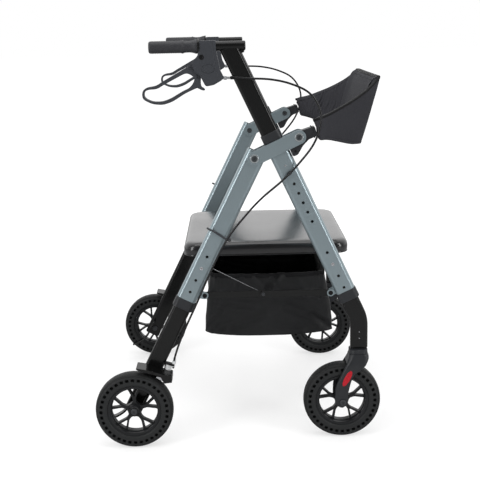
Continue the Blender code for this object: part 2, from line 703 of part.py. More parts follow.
# The cable's loop from the lever's pivot, then its run down the legs; Y is from the leg's middle
CABLE_LOOP = (
    (0.0514, 0.0060, -0.0477), (0.0812, 0.0150, -0.0473), (0.1092, 0.0210, -0.0497),
    (0.1552, 0.0230, -0.0527), (0.2002, 0.0230, -0.0632), (0.2432, 0.0230, -0.0847),
    (0.2672, 0.0230, -0.1207), (0.2692, 0.0230, -0.1592),
)
CABLE_RUN = (
    (0.4410, 0.0230, 0.7300), (0.4030, 0.0210, 0.6820), (0.3680, 0.0190, 0.6470),
    (0.3210, 0.0190, 0.6080), (0.2850, 0.0190, 0.5710), (0.2390, 0.0180, 0.5140),
    (0.2000, 0.0180, 0.4430), (0.1600, 0.0180, 0.3560), (0.1240, 0.0170, 0.2790),
    (0.1030, 0.0110, 0.2230), (0.0955, 0.0070, 0.1870),
)
CABLE_STEPS = 2


def smooth_route(route, steps):
    """Points on a smooth curve through every point of the route."""
    pts = [Vector(p) for p in route]
    pts = [2 * pts[0] - pts[1]] + pts + [2 * pts[-1] - pts[-2]]
    out = []
    for a, b, c, d in zip(pts, pts[1:], pts[2:], pts[3:]):
        for step in range(steps):
            t = step / steps
            out.append(0.5 * (2 * b + (c - a) * t + (2 * a - 5 * b + 4 * c - d) * t ** 2
                              + (3 * b - a - 3 * c + d) * t ** 3))
    out.append(pts[-2])
    return out


def brake_cable(side, mirrored, mat):
    sign = -1 if mirrored else 1
    route = [(x + LEVER_PIVOT[0], y + LEG_Y, z + LEVER_PIVOT[1]) for x, y, z in CABLE_LOOP]
    route += [(x, y + LEG_Y, z) for x, y, z in CABLE_RUN]
    points = smooth_route(route, CABLE_STEPS)
    start = points[0]
    curve = bpy.data.curves.new(f"brake_cable_{side}", "CURVE")
    curve.dimensions = "3D"
    curve.bevel_depth = CABLE_RADIUS
    curve.bevel_resolution = 2
    curve.use_fill_caps = True
    spline = curve.splines.new("POLY")
    spline.points.add(len(points) - 1)
    for target, point in zip(spline.points, points):
        local = point - start
        target.co = (local.x, sign * local.y, local.z, 1.0)
    curve.materials.append(mat)
    cable = bpy.data.objects.new(curve.name, curve)
    bpy.context.collection.objects.link(cable)
    cable.location = (start.x, sign * start.y, start.z)
    cable.parent = whole
    return cable


BRACKET_OUTLINE = (
    (0.0085, 0.2046), (0.0320, 0.2002), (0.0760, 0.1865), (0.0950, 0.1812), (0.0945, 0.1660),
    (0.0745, 0.1640), (0.0690, 0.1785), (0.0622, 0.1838), (0.0400, 0.1900), (0.0285, 0.1938),
    (0.0100, 0.2000),
)
BRACKET_FOOT = (
    (0.0560, 0.1880), (0.0700, 0.1835), (0.0860, 0.1785), (0.0850, 0.1600), (0.0620, 0.1600),
    (0.0520, 0.1700),
)
BRACKET_LOW_Y = LEG_Y + 0.0060
BRACKET_HIGH_Y = REAR_WHEEL_Y + 0.0150
BRACKET_TYRE_CLEARANCE = 0.0045
SHOE_LOW_Y = REAR_WHEEL_Y - 0.0165
SHOE_HIGH_Y = REAR_WHEEL_Y + 0.0105
SHOE_POCKET = (
    (0.0480, 0.1940), (0.0620, 0.1850), (0.0900, 0.1770), (0.0930, 0.1500), (0.0480, 0.1500),
)
SHOE_OUTLINE = (
    (0.0815, 0.1752), (0.0660, 0.1790), (0.0585, 0.1815), (0.0560, 0.1780), (0.0630, 0.1730),
    (0.0700, 0.1695), (0.0770, 0.1668), (0.0815, 0.1650), (0.0852, 0.1665), (0.0865, 0.1700),
    (0.0852, 0.1738),
)


def brake_bracket(side, mirrored, mat):
    """A bar on the lower leg's outer face, over the tyre, with a foot in front of the leg."""
    bm = prism(offset_outline(BRACKET_OUTLINE, (0.0, WHEEL_RADIUS)),
               BRACKET_LOW_Y - LEG_Y, BRACKET_HIGH_Y - LEG_Y)
    bracket = add_node(f"brake_bracket_{side}", bm, mat, (0, LEG_Y, WHEEL_RADIUS), 0.0, mirrored)
    foot = prism(offset_outline(BRACKET_FOOT, (0.0, WHEEL_RADIUS)), 0.0, LEG_CORNER + 0.0025)
    boolean(bracket, foot, "UNION", mirrored)
    shrink = LEG_WALL
    lean = Matrix.Rotation(REAR_LEG_LEAN, 4, "Y")
    heights = (LOWER_LEG_BOTTOM, REAR_LEG_BOTTOM)
    frames = [lean @ Matrix.Translation((0, 0, z)) for z in heights]
    boolean(bracket, swept_solid(frames, leg_outline(shrink)), "DIFFERENCE", mirrored)
    radius = WHEEL_RADIUS + BRACKET_TYRE_CLEARANCE
    inner_face = REAR_WHEEL_Y - TYRE_WIDTH / 2 - LEG_Y - 0.0025
    boolean(bracket, turned_solid([(radius, inner_face), (radius, 0.08)], "Y", 32),
            "DIFFERENCE", mirrored)
    pocket = prism(offset_outline(SHOE_POCKET, (0.0, WHEEL_RADIUS)),
                   SHOE_LOW_Y - LEG_Y - 0.0005, SHOE_HIGH_Y - LEG_Y + 0.0005)
    boolean(bracket, pocket, "DIFFERENCE", mirrored)
    pin = rod(0.002, SHOE_LOW_Y - LEG_Y - 0.002, SHOE_HIGH_Y - LEG_Y + 0.002, facets=8,
              centre=(SHOE_PIVOT[0], 0, SHOE_PIVOT[1] - WHEEL_RADIUS))
    boolean(bracket, pin, "UNION", mirrored)
    return bracket


def brake_shoe(side, mirrored, mat):
    low = SHOE_LOW_Y - LEG_Y
    high = SHOE_HIGH_Y - LEG_Y
    bm = prism(offset_outline(SHOE_OUTLINE, SHOE_PIVOT), low, high)
    shoe = add_node(f"brake_shoe_{side}", bm, mat, (SHOE_PIVOT[0], LEG_Y, SHOE_PIVOT[1]),
                    0.0, mirrored)
    boolean(shoe, rod(0.002 + GAP, low - 0.01, high + 0.01, facets=8), "DIFFERENCE", mirrored)
    return shoe


TIP_LEVER_PATH = (
    (0.002, 0.122), (-0.012, 0.100), (-0.020, 0.082), (-0.034, 0.066), (-0.052, 0.055),
    (-0.068, 0.049),
)
TIP_LEVER_THICKNESS = 0.005
TIP_LEVER_WIDTH = 0.020


def tip_lever(side, mirrored, mat):
    """A bent flat bar on the inner face of the lower leg, for a foot to press down."""
    path = [Vector((x, z)) for x, z in TIP_LEVER_PATH]
    upper = []
    lower = []
    for i, point in enumerate(path):
        ahead = path[min(i + 1, len(path) - 1)]
        behind = path[max(i - 1, 0)]
        along = (ahead - behind).normalized()
        across = Vector((-along.y, along.x)) * TIP_LEVER_THICKNESS / 2
        upper.append(tuple(point + across))
        lower.append(tuple(point - across))
    outline = upper + lower[::-1]
    shrink = LEG_WALL + GAP
    high = -(LEG_WIDTH / 2 - shrink) - GAP
    bm = prism(offset_outline(outline, (0.0, WHEEL_RADIUS)), high - TIP_LEVER_WIDTH, high)
    return add_node(f"tip_lever_{side}", bm, mat, (0, LEG_Y, WHEEL_RADIUS), 0.0, mirrored)


ARM_OUTLINE = (
    (0.4161, 0.7630), (0.4456, 0.7720), (0.4525, 0.7498), (0.4322, 0.7418), (0.4182, 0.7270),
    (0.4064, 0.7063), (0.3950, 0.7025), (0.3880, 0.7184), (0.3960, 0.7370), (0.3952, 0.7480),
    (0.4000, 0.7580), (0.4080, 0.7622),
)


def backrest_arm(side, mirrored, mat):
    half = LEG_WIDTH / 2
    bm = prism(offset_outline(ARM_OUTLINE, BACKREST_PIVOT), -half, half)
    arm = add_node(f"backrest_arm_{side}", bm, mat,
                   (BACKREST_PIVOT[0], LEG_Y, BACKREST_PIVOT[1]), 0.0, mirrored)
    boolean(arm, rod(PIVOT_PIN_RADIUS + GAP, -0.03, 0.03), "DIFFERENCE", mirrored)
    return arm


def fold_link(name, x_pivot, x_far, plane, mirrored, mat):
    """A flat bar from a leg's ear to the middle pivot."""
    reach = x_far - x_pivot
    half = LINK_HEIGHT / 2
    if reach > 0:
        outline = arc(0, 0, half, 90, 270, 6) + arc(reach, 0, half, -90, 90, 6)
    else:
        outline = arc(reach, 0, half, 90, 270, 6) + arc(0, 0, half, -90, 90, 6)
    low, high = (y - LEG_Y for y in plane)
    bm = prism(outline, low, high)
    link = add_node(name, bm, mat, (x_pivot, LEG_Y, REAR_LUG[1]), 0.0, mirrored)
    boolean(link, rod(LINK_PIN_RADIUS + GAP, -0.02, 0.02), "DIFFERENCE", mirrored)
    return link


def seat_rail(name, x, mat):
    """A round tube between the inner faces of the legs."""
    end = LEG_Y - LEG_WIDTH / 2 - GAP
    inner = RAIL_RADIUS - RAIL_WALL
    bm = turned_ring([(inner, -end), (RAIL_RADIUS, -end), (RAIL_RADIUS, end), (inner, end)],
                     "Y", 16)
    return add_node(name, bm, mat, (x, 0, RAIL_Z), 0.0, False)


def seat_pad(mat):
    """Rounded corners, a low crown and drawn-in sides over a flat base."""
    middle_x = (SEAT_REAR + SEAT_FRONT) / 2
    length = SEAT_FRONT - SEAT_REAR
    width = 2 * SEAT_HALF_WIDTH
    thickness = SEAT_THICKNESS
    levels = (
        (0.004, 0.0), (0.0, 0.08), (0.0015, 0.42), (0.0, 0.60), (0.004, 0.80), (0.012, 0.91),
        (0.035, 0.965), (0.090, 0.99), (0.150, 1.0),
    )
    bm = bmesh.new()
    rings = []
    for inset, height in levels:
        corner = max(SEAT_CORNER - inset * 0.4, 0.01)
        outline = rounded_rectangle(length - 2 * inset, width - 2 * inset, corner, 5)
        frame = Matrix.Translation((0, 0, thickness * height))
        rings.append(ring(bm, frame, outline))
    for first, second in zip(rings, rings[1:]):
        join_rings(bm, first, second)
    cap(bm, rings[0])
    cap(bm, rings[-1])
    hinge = Vector((FRONT_RAIL_X, 0, RAIL_Z))
    shift = Vector((middle_x, 0, SEAT_BOTTOM)) - hinge
    bmesh.ops.translate(bm, verts=bm.verts, vec=shift)
    return add_node("seat_pad", finish(bm), mat, hinge, 0.0, False)


# Share of the depth, then how far the rear, the front and the two ends are drawn in
BAG_SECTIONS = (
    (0.000, 0.014, 0.016, 0.020), (0.139, 0.004, 0.006, 0.006), (0.556, 0.000, 0.000, 0.000),
    (1.000, 0.004, 0.000, 0.000),
)


def bag(mat):
    """An open cloth bag: walls, a bottom and a mouth under the seat."""
    bm = bmesh.new()
    outer = []
    inner = []
    for share, rear_in, front_in, ends_in in BAG_SECTIONS:
        rear = BAG_REAR + rear_in
        front = BAG_FRONT - front_in
        height = (share - 1.0) * BAG_DEPTH
        for rings, wall in ((outer, 0.0), (inner, BAG_WALL)):
            outline = rounded_rectangle(front - rear - 2 * wall,
                                        2 * (BAG_HALF_WIDTH - ends_in - wall), 0.03 - wall, 4)
            level = height + (wall if share == 0 else 0.0)
            frame = Matrix.Translation(((front + rear) / 2, 0, level))
            rings.append(ring(bm, frame, outline))
    for rings in (outer, inner):
        for first, second in zip(rings, rings[1:]):
            join_rings(bm, first, second)
        cap(bm, rings[0])
    join_rings(bm, outer[-1], inner[-1])
    return add_node("bag", finish(bm), mat, (0, 0, BAG_TOP), 0.0, False)


# Y and X of the top outer edge, low and high Z, thickness and lean of each section
STRAP_SECTIONS = (
    (0.3095, 0.4413, 0.7410, 0.7880, 0.021, -0.311), (0.3095, 0.4560, 0.7385, 0.7915, 0.021, -0.12),
    (0.2915, 0.4800, 0.7340, 0.7975, 0.020, 0.10), (0.2715, 0.5100, 0.7285, 0.8095, 0.020, 0.25),
    (0.2482, 0.5450, 0.7215, 0.8255, 0.020, 0.29), (0.2249, 0.5800, 0.7170, 0.8460, 0.020, 0.29),
    (0.2079, 0.6054, 0.7150, 0.8665, 0.020, 0.29), (0.1986, 0.6139, 0.7145, 0.8745, 0.020, 0.29),
    (0.1863, 0.6170, 0.7142, 0.8770, 0.020, 0.29), (0.1100, 0.6170, 0.7140, 0.8770, 0.020, 0.29),
    (0.0000, 0.6170, 0.7140, 0.8770, 0.020, 0.29),
)


def backrest_pad(mat):
    """The padded strap: a flat-fronted U seen from above, deeper in front, leaning back below."""
    rows = [(-row[0], *row[1:]) for row in STRAP_SECTIONS]
    rows += list(reversed(STRAP_SECTIONS[:-1]))
    bm = bmesh.new()
    rings = []
    for i, (y, x, low, high, thick, lean) in enumerate(rows):
        ahead = rows[min(i + 1, len(rows) - 1)]
        behind = rows[max(i - 1, 0)]
        along = Vector((ahead[1] - behind[1], ahead[0] - behind[0])).normalized()
        across = Vector((along.y, -along.x))
        middle = (low + high) / 2
        depth = high - low
        loop = []
        for px, py in rounded_rectangle(depth, thick, thick * 0.45, 2):
            back = lean * (px - depth / 2)
            offset = across * (py - thick / 2)
            loop.append(bm.verts.new((x + offset.x + back, y + offset.y, middle + px)))
        rings.append(loop)
    for first, second in zip(rings, rings[1:]):
        join_rings(bm, first, second)
    cap(bm, rings[0])
    cap(bm, rings[-1])
    pivot = Vector((BACKREST_PIVOT[0], 0, BACKREST_PIVOT[1]))
    bmesh.ops.translate(bm, verts=bm.verts, vec=-pivot)
    return add_node("backrest_pad", finish(bm), mat, pivot, 0.0, False)


clear_scene()
whole = bpy.data.objects.new("whole", None)
bpy.context.collection.objects.link(whole)

frame_paint = material("frame_paint", (0.20, 0.26, 0.29), 0.35, 0.6)
black_tube = material("black_tube", (0.012, 0.012, 0.012), 0.35)
black_plastic = material("black_plastic", (0.03, 0.03, 0.032), 0.5)
grip_rubber = material("grip_rubber", (0.02, 0.02, 0.02), 0.7)
tyre_rubber = material("tyre_rubber", (0.025, 0.025, 0.026), 0.8)
steel = material("steel", (0.55, 0.56, 0.58), 0.3, 1.0)
seat_vinyl = material("seat_vinyl", (0.03, 0.03, 0.033), 0.3)
bag_cloth = material("bag_cloth", (0.015, 0.015, 0.016), 0.9)
strap_cloth = material("strap_cloth", (0.022, 0.022, 0.025), 0.85)

for side, mirrored in (("left", False), ("right", True)):
    rear_origin = (0.0, WHEEL_RADIUS)
    front_leg(side, mirrored, frame_paint)
    rear_leg(side, mirrored, frame_paint)
    top_bracket(side, mirrored, frame_paint)
    sleeve(f"handle_collar_{side}", FRONT_LEG_TOP + GAP, FRONT_LEG_TOP + HANDLE_COLLAR_LENGTH,
           0.0, FRONT_LEG_ORIGIN, FRONT_LEG_LEAN, mirrored, black_plastic)
    sleeve(f"front_collar_{side}", FRONT_LEG_BOTTOM - LEG_COLLAR_LENGTH, FRONT_LEG_BOTTOM - GAP,
           COLLAR_MARGIN, FRONT_LEG_ORIGIN, FRONT_LEG_LEAN, mirrored, black_plastic)
    sleeve(f"rear_collar_{side}", REAR_LEG_BOTTOM - LEG_COLLAR_LENGTH, REAR_LEG_BOTTOM - GAP,
           COLLAR_MARGIN, rear_origin, REAR_LEG_LEAN, mirrored, black_plastic)
    front_lower_leg(side, mirrored, black_tube)
    rear_lower_leg(side, mirrored, black_tube)
    handle_post(side, mirrored, black_tube)
    grip(side, mirrored, grip_rubber)
    brake_housing(side, mirrored, black_plastic)
    brake_lever(side, mirrored, black_plastic)
    brake_cable(side, mirrored, black_plastic)
    brake_bracket(side, mirrored, black_plastic)
    brake_shoe(side, mirrored, steel)
    tip_lever(side, mirrored, black_tube)
    backrest_arm(side, mirrored, black_plastic)
    fold_link(f"front_fold_link_{side}", FRONT_LUG[0], LINK_CENTRE_X, OUTER_PLANE,
              mirrored, black_tube)
    fold_link(f"rear_fold_link_{side}", REAR_LUG[0], LINK_CENTRE_X, INNER_PLANE,
              mirrored, black_tube)
    caster_fork(side, mirrored, black_plastic)
    fork_face = FORK_HALF_WIDTH + GAP
    axle(f"front_axle_{side}", WHEELBASE, LEG_Y, -fork_face, fork_face, mirrored, steel)
    rim(f"front_rim_{side}", WHEELBASE, LEG_Y, mirrored, black_plastic)
    tyre(f"front_tyre_{side}", WHEELBASE, LEG_Y, mirrored, tyre_rubber)
    leg_face = LEG_WIDTH / 2 - LEG_WALL
    reach = REAR_WHEEL_Y - LEG_Y + HUB_LENGTH / 2 + GAP
    axle(f"rear_axle_{side}", 0.0, LEG_Y, -leg_face, reach, mirrored, steel)
    rim(f"rear_rim_{side}", 0.0, REAR_WHEEL_Y, mirrored, black_plastic)
    tyre(f"rear_tyre_{side}", 0.0, REAR_WHEEL_Y, mirrored, tyre_rubber)

seat_rail("seat_rail_front", FRONT_RAIL_X, black_tube)
seat_rail("seat_rail_rear", REAR_RAIL_X, black_tube)
seat_pad(seat_vinyl)
bag(bag_cloth)
backrest_pad(strap_cloth)
centre_lengthways()
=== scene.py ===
"""A rollator: a folding walking frame on four wheels, with a seat, a bag and a backrest.

Metres, +X forward, +Y to the user's left, +Z up. Side pieces are drawn for the left side, and
the right ones are their mirror images. Lengths along X are counted from the rear axle.
"""

import functools
import math

import bmesh
import bpy
from mathutils import Matrix, Vector, noise


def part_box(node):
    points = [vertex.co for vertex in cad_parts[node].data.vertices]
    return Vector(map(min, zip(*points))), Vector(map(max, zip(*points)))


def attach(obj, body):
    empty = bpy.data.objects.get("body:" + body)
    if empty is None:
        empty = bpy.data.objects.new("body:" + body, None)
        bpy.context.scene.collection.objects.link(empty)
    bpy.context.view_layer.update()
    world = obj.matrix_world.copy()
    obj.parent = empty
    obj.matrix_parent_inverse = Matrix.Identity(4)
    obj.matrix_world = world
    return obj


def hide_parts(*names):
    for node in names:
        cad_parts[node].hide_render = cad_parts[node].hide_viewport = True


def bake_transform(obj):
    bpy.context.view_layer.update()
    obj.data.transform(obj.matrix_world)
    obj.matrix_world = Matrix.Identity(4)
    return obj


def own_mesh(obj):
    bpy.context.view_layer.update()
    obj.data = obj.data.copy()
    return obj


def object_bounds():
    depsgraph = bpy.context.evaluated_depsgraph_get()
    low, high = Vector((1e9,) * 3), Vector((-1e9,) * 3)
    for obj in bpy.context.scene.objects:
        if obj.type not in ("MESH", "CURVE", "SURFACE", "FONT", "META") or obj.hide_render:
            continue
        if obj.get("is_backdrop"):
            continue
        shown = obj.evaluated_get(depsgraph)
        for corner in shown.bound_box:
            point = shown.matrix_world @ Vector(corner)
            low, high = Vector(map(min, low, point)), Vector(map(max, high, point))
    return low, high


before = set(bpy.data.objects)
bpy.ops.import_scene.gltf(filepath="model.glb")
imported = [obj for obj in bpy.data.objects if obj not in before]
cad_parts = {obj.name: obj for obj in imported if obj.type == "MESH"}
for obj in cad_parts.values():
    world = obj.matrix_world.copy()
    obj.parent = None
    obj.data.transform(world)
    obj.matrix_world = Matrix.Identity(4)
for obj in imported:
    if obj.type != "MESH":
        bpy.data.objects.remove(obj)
cad_low, cad_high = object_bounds()
axle_low, axle_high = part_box("rear_axle_left")
REAR_X = (axle_low.x + axle_high.x) / 2


# The studio: a white floor and surroundings, a soft lamp on each side, one above and one
# behind. The camera stands on the right side, a little above the handles.
CAMERA_ANGLES = (0.249, 12.987, -1.347)  # in degrees: turned, dipped and tilted
CAMERA_PLACE = (REAR_X + 0.2574, -2.4855, 1.008)
CAMERA_LENS = 70.5  # in millimetres, on a sensor 36 mm wide
WHITE = (1.0, 1.0, 1.0, 1.0)


def aimed_camera():
    yaw, dip, tilt = (math.radians(angle) for angle in CAMERA_ANGLES)
    ahead = Vector((math.sin(yaw) * math.cos(dip), math.cos(yaw) * math.cos(dip), -math.sin(dip)))
    across = Vector((math.cos(yaw), -math.sin(yaw), 0.0))
    over = across.cross(ahead)
    right = across * math.cos(tilt) + over * math.sin(tilt)
    upward = over * math.cos(tilt) - across * math.sin(tilt)
    lens = bpy.data.cameras.new("camera")
    lens.sensor_width = 36.0
    lens.lens = CAMERA_LENS
    item = bpy.data.objects.new("camera", lens)
    bpy.context.collection.objects.link(item)
    turn = Matrix((right, upward, -ahead)).transposed().to_4x4()
    item.matrix_world = Matrix.Translation(CAMERA_PLACE) @ turn
    return item


def soft_lamp(name, place, aim, size, watts, mirrored=True):
    lamp = bpy.data.lights.new(name, "AREA")
    lamp.shape = "RECTANGLE"
    lamp.size, lamp.size_y = size
    lamp.energy = watts
    item = bpy.data.objects.new(name, lamp)
    bpy.context.collection.objects.link(item)
    item.location = place
    item.rotation_euler = (Vector(aim) - Vector(place)).to_track_quat("-Z", "Y").to_euler()
    item.visible_camera = False
    item.visible_glossy = mirrored


bpy.context.scene.camera = aimed_camera()
bpy.context.scene.view_settings.view_transform = "Standard"
soft_lamp("lamp_rear", (-2.0, -1.8, 1.5), (0.0, 0.0, 0.6), (0.60, 2.2), 26)
soft_lamp("lamp_front", (2.1, -1.8, 1.5), (0.1, 0.0, 0.6), (0.50, 2.2), 24)
soft_lamp("lamp_above", (0.0, -0.4, 2.8), (0.0, 0.0, 0.5), (1.8, 1.8), 16)
soft_lamp("lamp_beyond", (0.0, 3.0, 0.9), (0.0, 0.0, 0.5), (3.4, 1.5), 30, mirrored=False)


def feed(tree, node, inputs):
    """Gives each named input of a node its value, or links it to a socket."""
    for label, value in inputs.items():
        if isinstance(value, bpy.types.NodeSocket):
            tree.links.new(value, node.inputs[label])
        else:
            node.inputs[label].default_value = value


def wired(tree, kind, inputs, **settings):
    """A new shader node with its settings and its inputs."""
    node = tree.nodes.new("ShaderNode" + kind)
    for label, value in settings.items():
        setattr(node, label, value)
    feed(tree, node, inputs)
    return node


def sums(tree, operation, *values):
    """A Math node on one to three values or sockets."""
    return wired(tree, "Math", dict(enumerate(values)), operation=operation).outputs[0]


def place_of(tree, kind="Object"):
    return wired(tree, "TexCoord", {}).outputs[kind]


def new_material(name, values):
    """A material, its node tree and its shader, whose own sockets get the values."""
    material = bpy.data.materials.new(name)
    material.use_nodes = True
    shader = material.node_tree.nodes["Principled BSDF"]
    feed(material.node_tree, shader, values)
    return material, material.node_tree, shader


world = bpy.data.worlds.new("white_room")
bpy.context.scene.world = world
world.use_nodes = True
room = world.node_tree
ray = wired(room, "LightPath", {}).outputs
mirrored_ray = sums(room, "MAXIMUM", ray["Is Glossy Ray"], ray["Is Transmission Ray"])
seen = sums(room, "MAXIMUM", ray["Is Camera Ray"], mirrored_ray)
spot = wired(room, "SeparateXYZ", {0: place_of(room, "Generated")})
darker_front = wired(room, "MapRange", {"Value": spot.outputs["Y"], "From Min": -0.45,
                                        "From Max": 0.35, "To Min": 0.14},
                     interpolation_type="SMOOTHSTEP")
mirrored_level = sums(room, "MAXIMUM", ray["Is Camera Ray"], darker_front.outputs["Result"])
level = wired(room, "MapRange", {"Value": seen, "To Min": 0.82, "To Max": mirrored_level})
feed(room, room.nodes["Background"], {"Color": WHITE, "Strength": level.outputs["Result"]})

floor_mesh = bpy.data.meshes.new("floor")
floor_mesh.from_pydata(
    [(-30, -30, 0), (30, -30, 0), (30, 30, 0), (-30, 30, 0)], [], [(0, 1, 2, 3)]
)
floor = bpy.data.objects.new("floor", floor_mesh)
bpy.context.collection.objects.link(floor)
floor_white, tree, paper = new_material("floor_white", {
    "Base Color": (0.45, 0.45, 0.45, 1.0), "Roughness": 1.0, "Specular IOR Level": 0.0,
    "Emission Color": WHITE,
})
away = wired(tree, "VectorMath", {0: place_of(tree)}, operation="LENGTH")
brighter = wired(tree, "MapRange", {"Value": away.outputs["Value"], "From Min": 0.9,
                                    "From Max": 3.0, "To Min": 0.58, "To Max": 0.70})
is_seen = wired(tree, "LightPath", {}).outputs["Is Camera Ray"]
glow = sums(tree, "MULTIPLY", is_seen, brighter.outputs["Result"])
feed(tree, paper, {"Emission Strength": glow})
floor_mesh.materials.append(floor_white)
floor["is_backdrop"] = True


# Rear legs: aluminium tubes of flat oval section, painted a metallic slate blue, with a row of
# holes for the foot's height and an ear welded to the front edge for the fold link.
SIDES = (("left", 1.0), ("right", -1.0))
LEG_Y = 0.299
LEG_DEPTH = 0.048
LEG_WIDTH = 0.025
LEG_CORNER = 0.011
LEG_WALL = 0.0024
TOP_PIVOT = Vector((0.3048, 0.700))
AXLE_Z = 0.095
REAR_LEAN = math.atan2(TOP_PIVOT.x, TOP_PIVOT.y - AXLE_Z)
REAR_LEG = Matrix.Translation((REAR_X, LEG_Y, AXLE_Z)) @ Matrix.Rotation(REAR_LEAN, 4, "Y")
REAR_LEG_BOTTOM = 0.298
REAR_LEG_TOP = 0.6935
HOLE = 0.0036
FOOT_PITCH = 0.032


def rounded_box(depth, width, corner, steps):
    """An outline with round corners, about the origin."""
    points = []
    for turn, (sx, sy) in enumerate(((1, 1), (-1, 1), (-1, -1), (1, -1))):
        for step in range(steps + 1):
            angle = math.pi / 2 * (turn + step / steps)
            points.append((sx * (depth / 2 - corner) + corner * math.cos(angle),
                           sy * (width / 2 - corner) + corner * math.sin(angle)))
    return points


def circle(steps, first=0.0):
    """The cosine and sine of equal turns."""
    angles = [2 * math.pi * i / steps + first for i in range(steps)]
    return [(math.cos(angle), math.sin(angle)) for angle in angles]


def skin(rings, around=False, open_end=False):
    """A surface through rings of points: capped, joined from last to first, or open at the end."""
    bm = bmesh.new()
    rows = [[bm.verts.new(point) for point in ring] for ring in rings]
    count = len(rows[0])
    following = rows[1:] + (rows[:1] if around else [])
    for one, two in zip(rows, following):
        for i in range(count):
            j = (i + 1) % count
            bm.faces.new((one[i], one[j], two[j], two[i]))
    if not around:
        bm.faces.new(rows[0])
        if not open_end:
            bm.faces.new(rows[-1])
    bmesh.ops.recalc_face_normals(bm, faces=bm.faces)
    return bm


def placed(bm, matrix):
    bmesh.ops.transform(bm, matrix=matrix, verts=bm.verts)
    return bm


def plate(outline, y_low, y_high):
    """A plate whose outline (x, z) stands upright."""
    return skin([[(x, y, z) for x, z in outline] for y in (y_low, y_high)])


def leg_plate(outline, half):
    """A plate on both sides of the leg's middle plane."""
    return plate(outline, LEG_Y - half, LEG_Y + half)


def turned(profile, steps, centre=(0.0, 0.0, 0.0), axis="Y", around=False):
    """A profile (radius, along) turned round an axis."""
    order = {"X": (2, 0, 1), "Y": (0, 2, 1), "Z": (0, 1, 2)}[axis]
    rings = []
    for radius, along in profile:
        rings.append([Vector(centre) + Vector([(radius * c, radius * s, along)[k] for k in order])
                      for c, s in circle(steps)])
    return skin(rings, around)


def rod(radius, low, high, steps, centre):
    return turned([(radius, low), (radius, high)], steps, centre)


def as_object(name, bm):
    mesh = bpy.data.meshes.new(name)
    bm.to_mesh(mesh)
    bm.free()
    item = bpy.data.objects.new(name, mesh)
    bpy.context.collection.objects.link(item)
    return item


def baked(name, item, tools=()):
    """The mesh that an object's modifiers make, without the object and its tools."""
    mesh = bpy.data.meshes.new_from_object(
        item.evaluated_get(bpy.context.evaluated_depsgraph_get()))
    for used in (item, *tools):
        bpy.data.objects.remove(used, do_unlink=True)
    mesh.name = name
    mesh.materials.clear()
    return mesh


def worked(name, body, cuts=(), joins=(), edge=0.0, steps=3, limit=34.0):
    """Joins and cuts a shape, rounds its edges and gives its finished mesh."""
    body = as_object(name, body)
    tools = []
    for operation, shapes in (("UNION", joins), ("DIFFERENCE", cuts)):
        for shape in shapes:
            tool = as_object("tool", shape)
            tools.append(tool)
            change = body.modifiers.new("shape", "BOOLEAN")
            change.operation = operation
            change.solver = "EXACT"
            change.object = tool
    if edge:
        change = body.modifiers.new("edge", "BEVEL")
        change.width = edge
        change.segments = steps
        change.limit_method = "ANGLE"
        change.angle_limit = math.radians(limit)
    flat = body.modifiers.new("flat", "WEIGHTED_NORMAL")
    flat.keep_sharp = True
    body.data.shade_smooth()
    if not edge:
        body.data.set_sharp_from_angle(angle=math.radians(limit))
    return baked(name, body, tools)


def fitted(name, mesh, finish, body, stands_for=(), slot=None, place=None):
    """Puts a finished mesh on the body that it moves with."""
    item = bpy.data.objects.new(name, mesh)
    bpy.context.collection.objects.link(item)
    if not mesh.materials:
        mesh.materials.append(finish)
    if place is not None:
        item.matrix_world = place
    if body:
        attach(item, body)
    if stands_for:
        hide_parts(*stands_for)
    # A name that the frame's own materials have already ends in a number here.
    slot or finish.name.split(".")[0]
    return item


def for_side(bm, sign):
    if sign < 0:
        bmesh.ops.scale(bm, vec=(1.0, -1.0, 1.0), verts=bm.verts)
        bmesh.ops.reverse_faces(bm, faces=bm.faces)
    return bm


def pair(name, draw, finish, body, stands_for=(), slot=None, **work):
    """A piece on the left and on the right; draw() gives a shape, or a shape, cuts and joins."""
    for side, sign in SIDES:
        drawn = draw()
        shape, cuts, joins = drawn if isinstance(drawn, tuple) else (drawn, [], [])
        mesh = worked(f"{name}_{side}", for_side(shape, sign),
                      [for_side(cut, sign) for cut in cuts],
                      [for_side(join, sign) for join in joins], **work)
        solids = [node.format(side) for node in stands_for]
        fitted(f"{name}_{side}", mesh, finish, body.format(side), solids, slot)


FLOAT, COLOUR, VECTOR = "NodeSocketFloat", "NodeSocketColor", "NodeSocketVector"


def node_group(name, inputs, outputs):
    """An empty node group, the sockets that it is given and the node of what it makes."""
    tree = bpy.data.node_groups.new(name, "ShaderNodeTree")
    for label, kind, value in inputs:
        socket = tree.interface.new_socket(name=label, in_out="INPUT", socket_type=kind)
        socket.default_value = value
    for label, kind in outputs:
        tree.interface.new_socket(name=label, in_out="OUTPUT", socket_type=kind)
    return tree, tree.nodes.new("NodeGroupInput").outputs, tree.nodes.new("NodeGroupOutput")


def scaled(tree, colour, factor):
    """A colour made lighter or darker."""
    return wired(tree, "VectorMath", {0: colour, "Scale": factor}, operation="SCALE").outputs[0]


def bumped(tree, height, depth):
    return wired(tree, "Bump", {"Height": height, "Distance": depth}).outputs["Normal"]


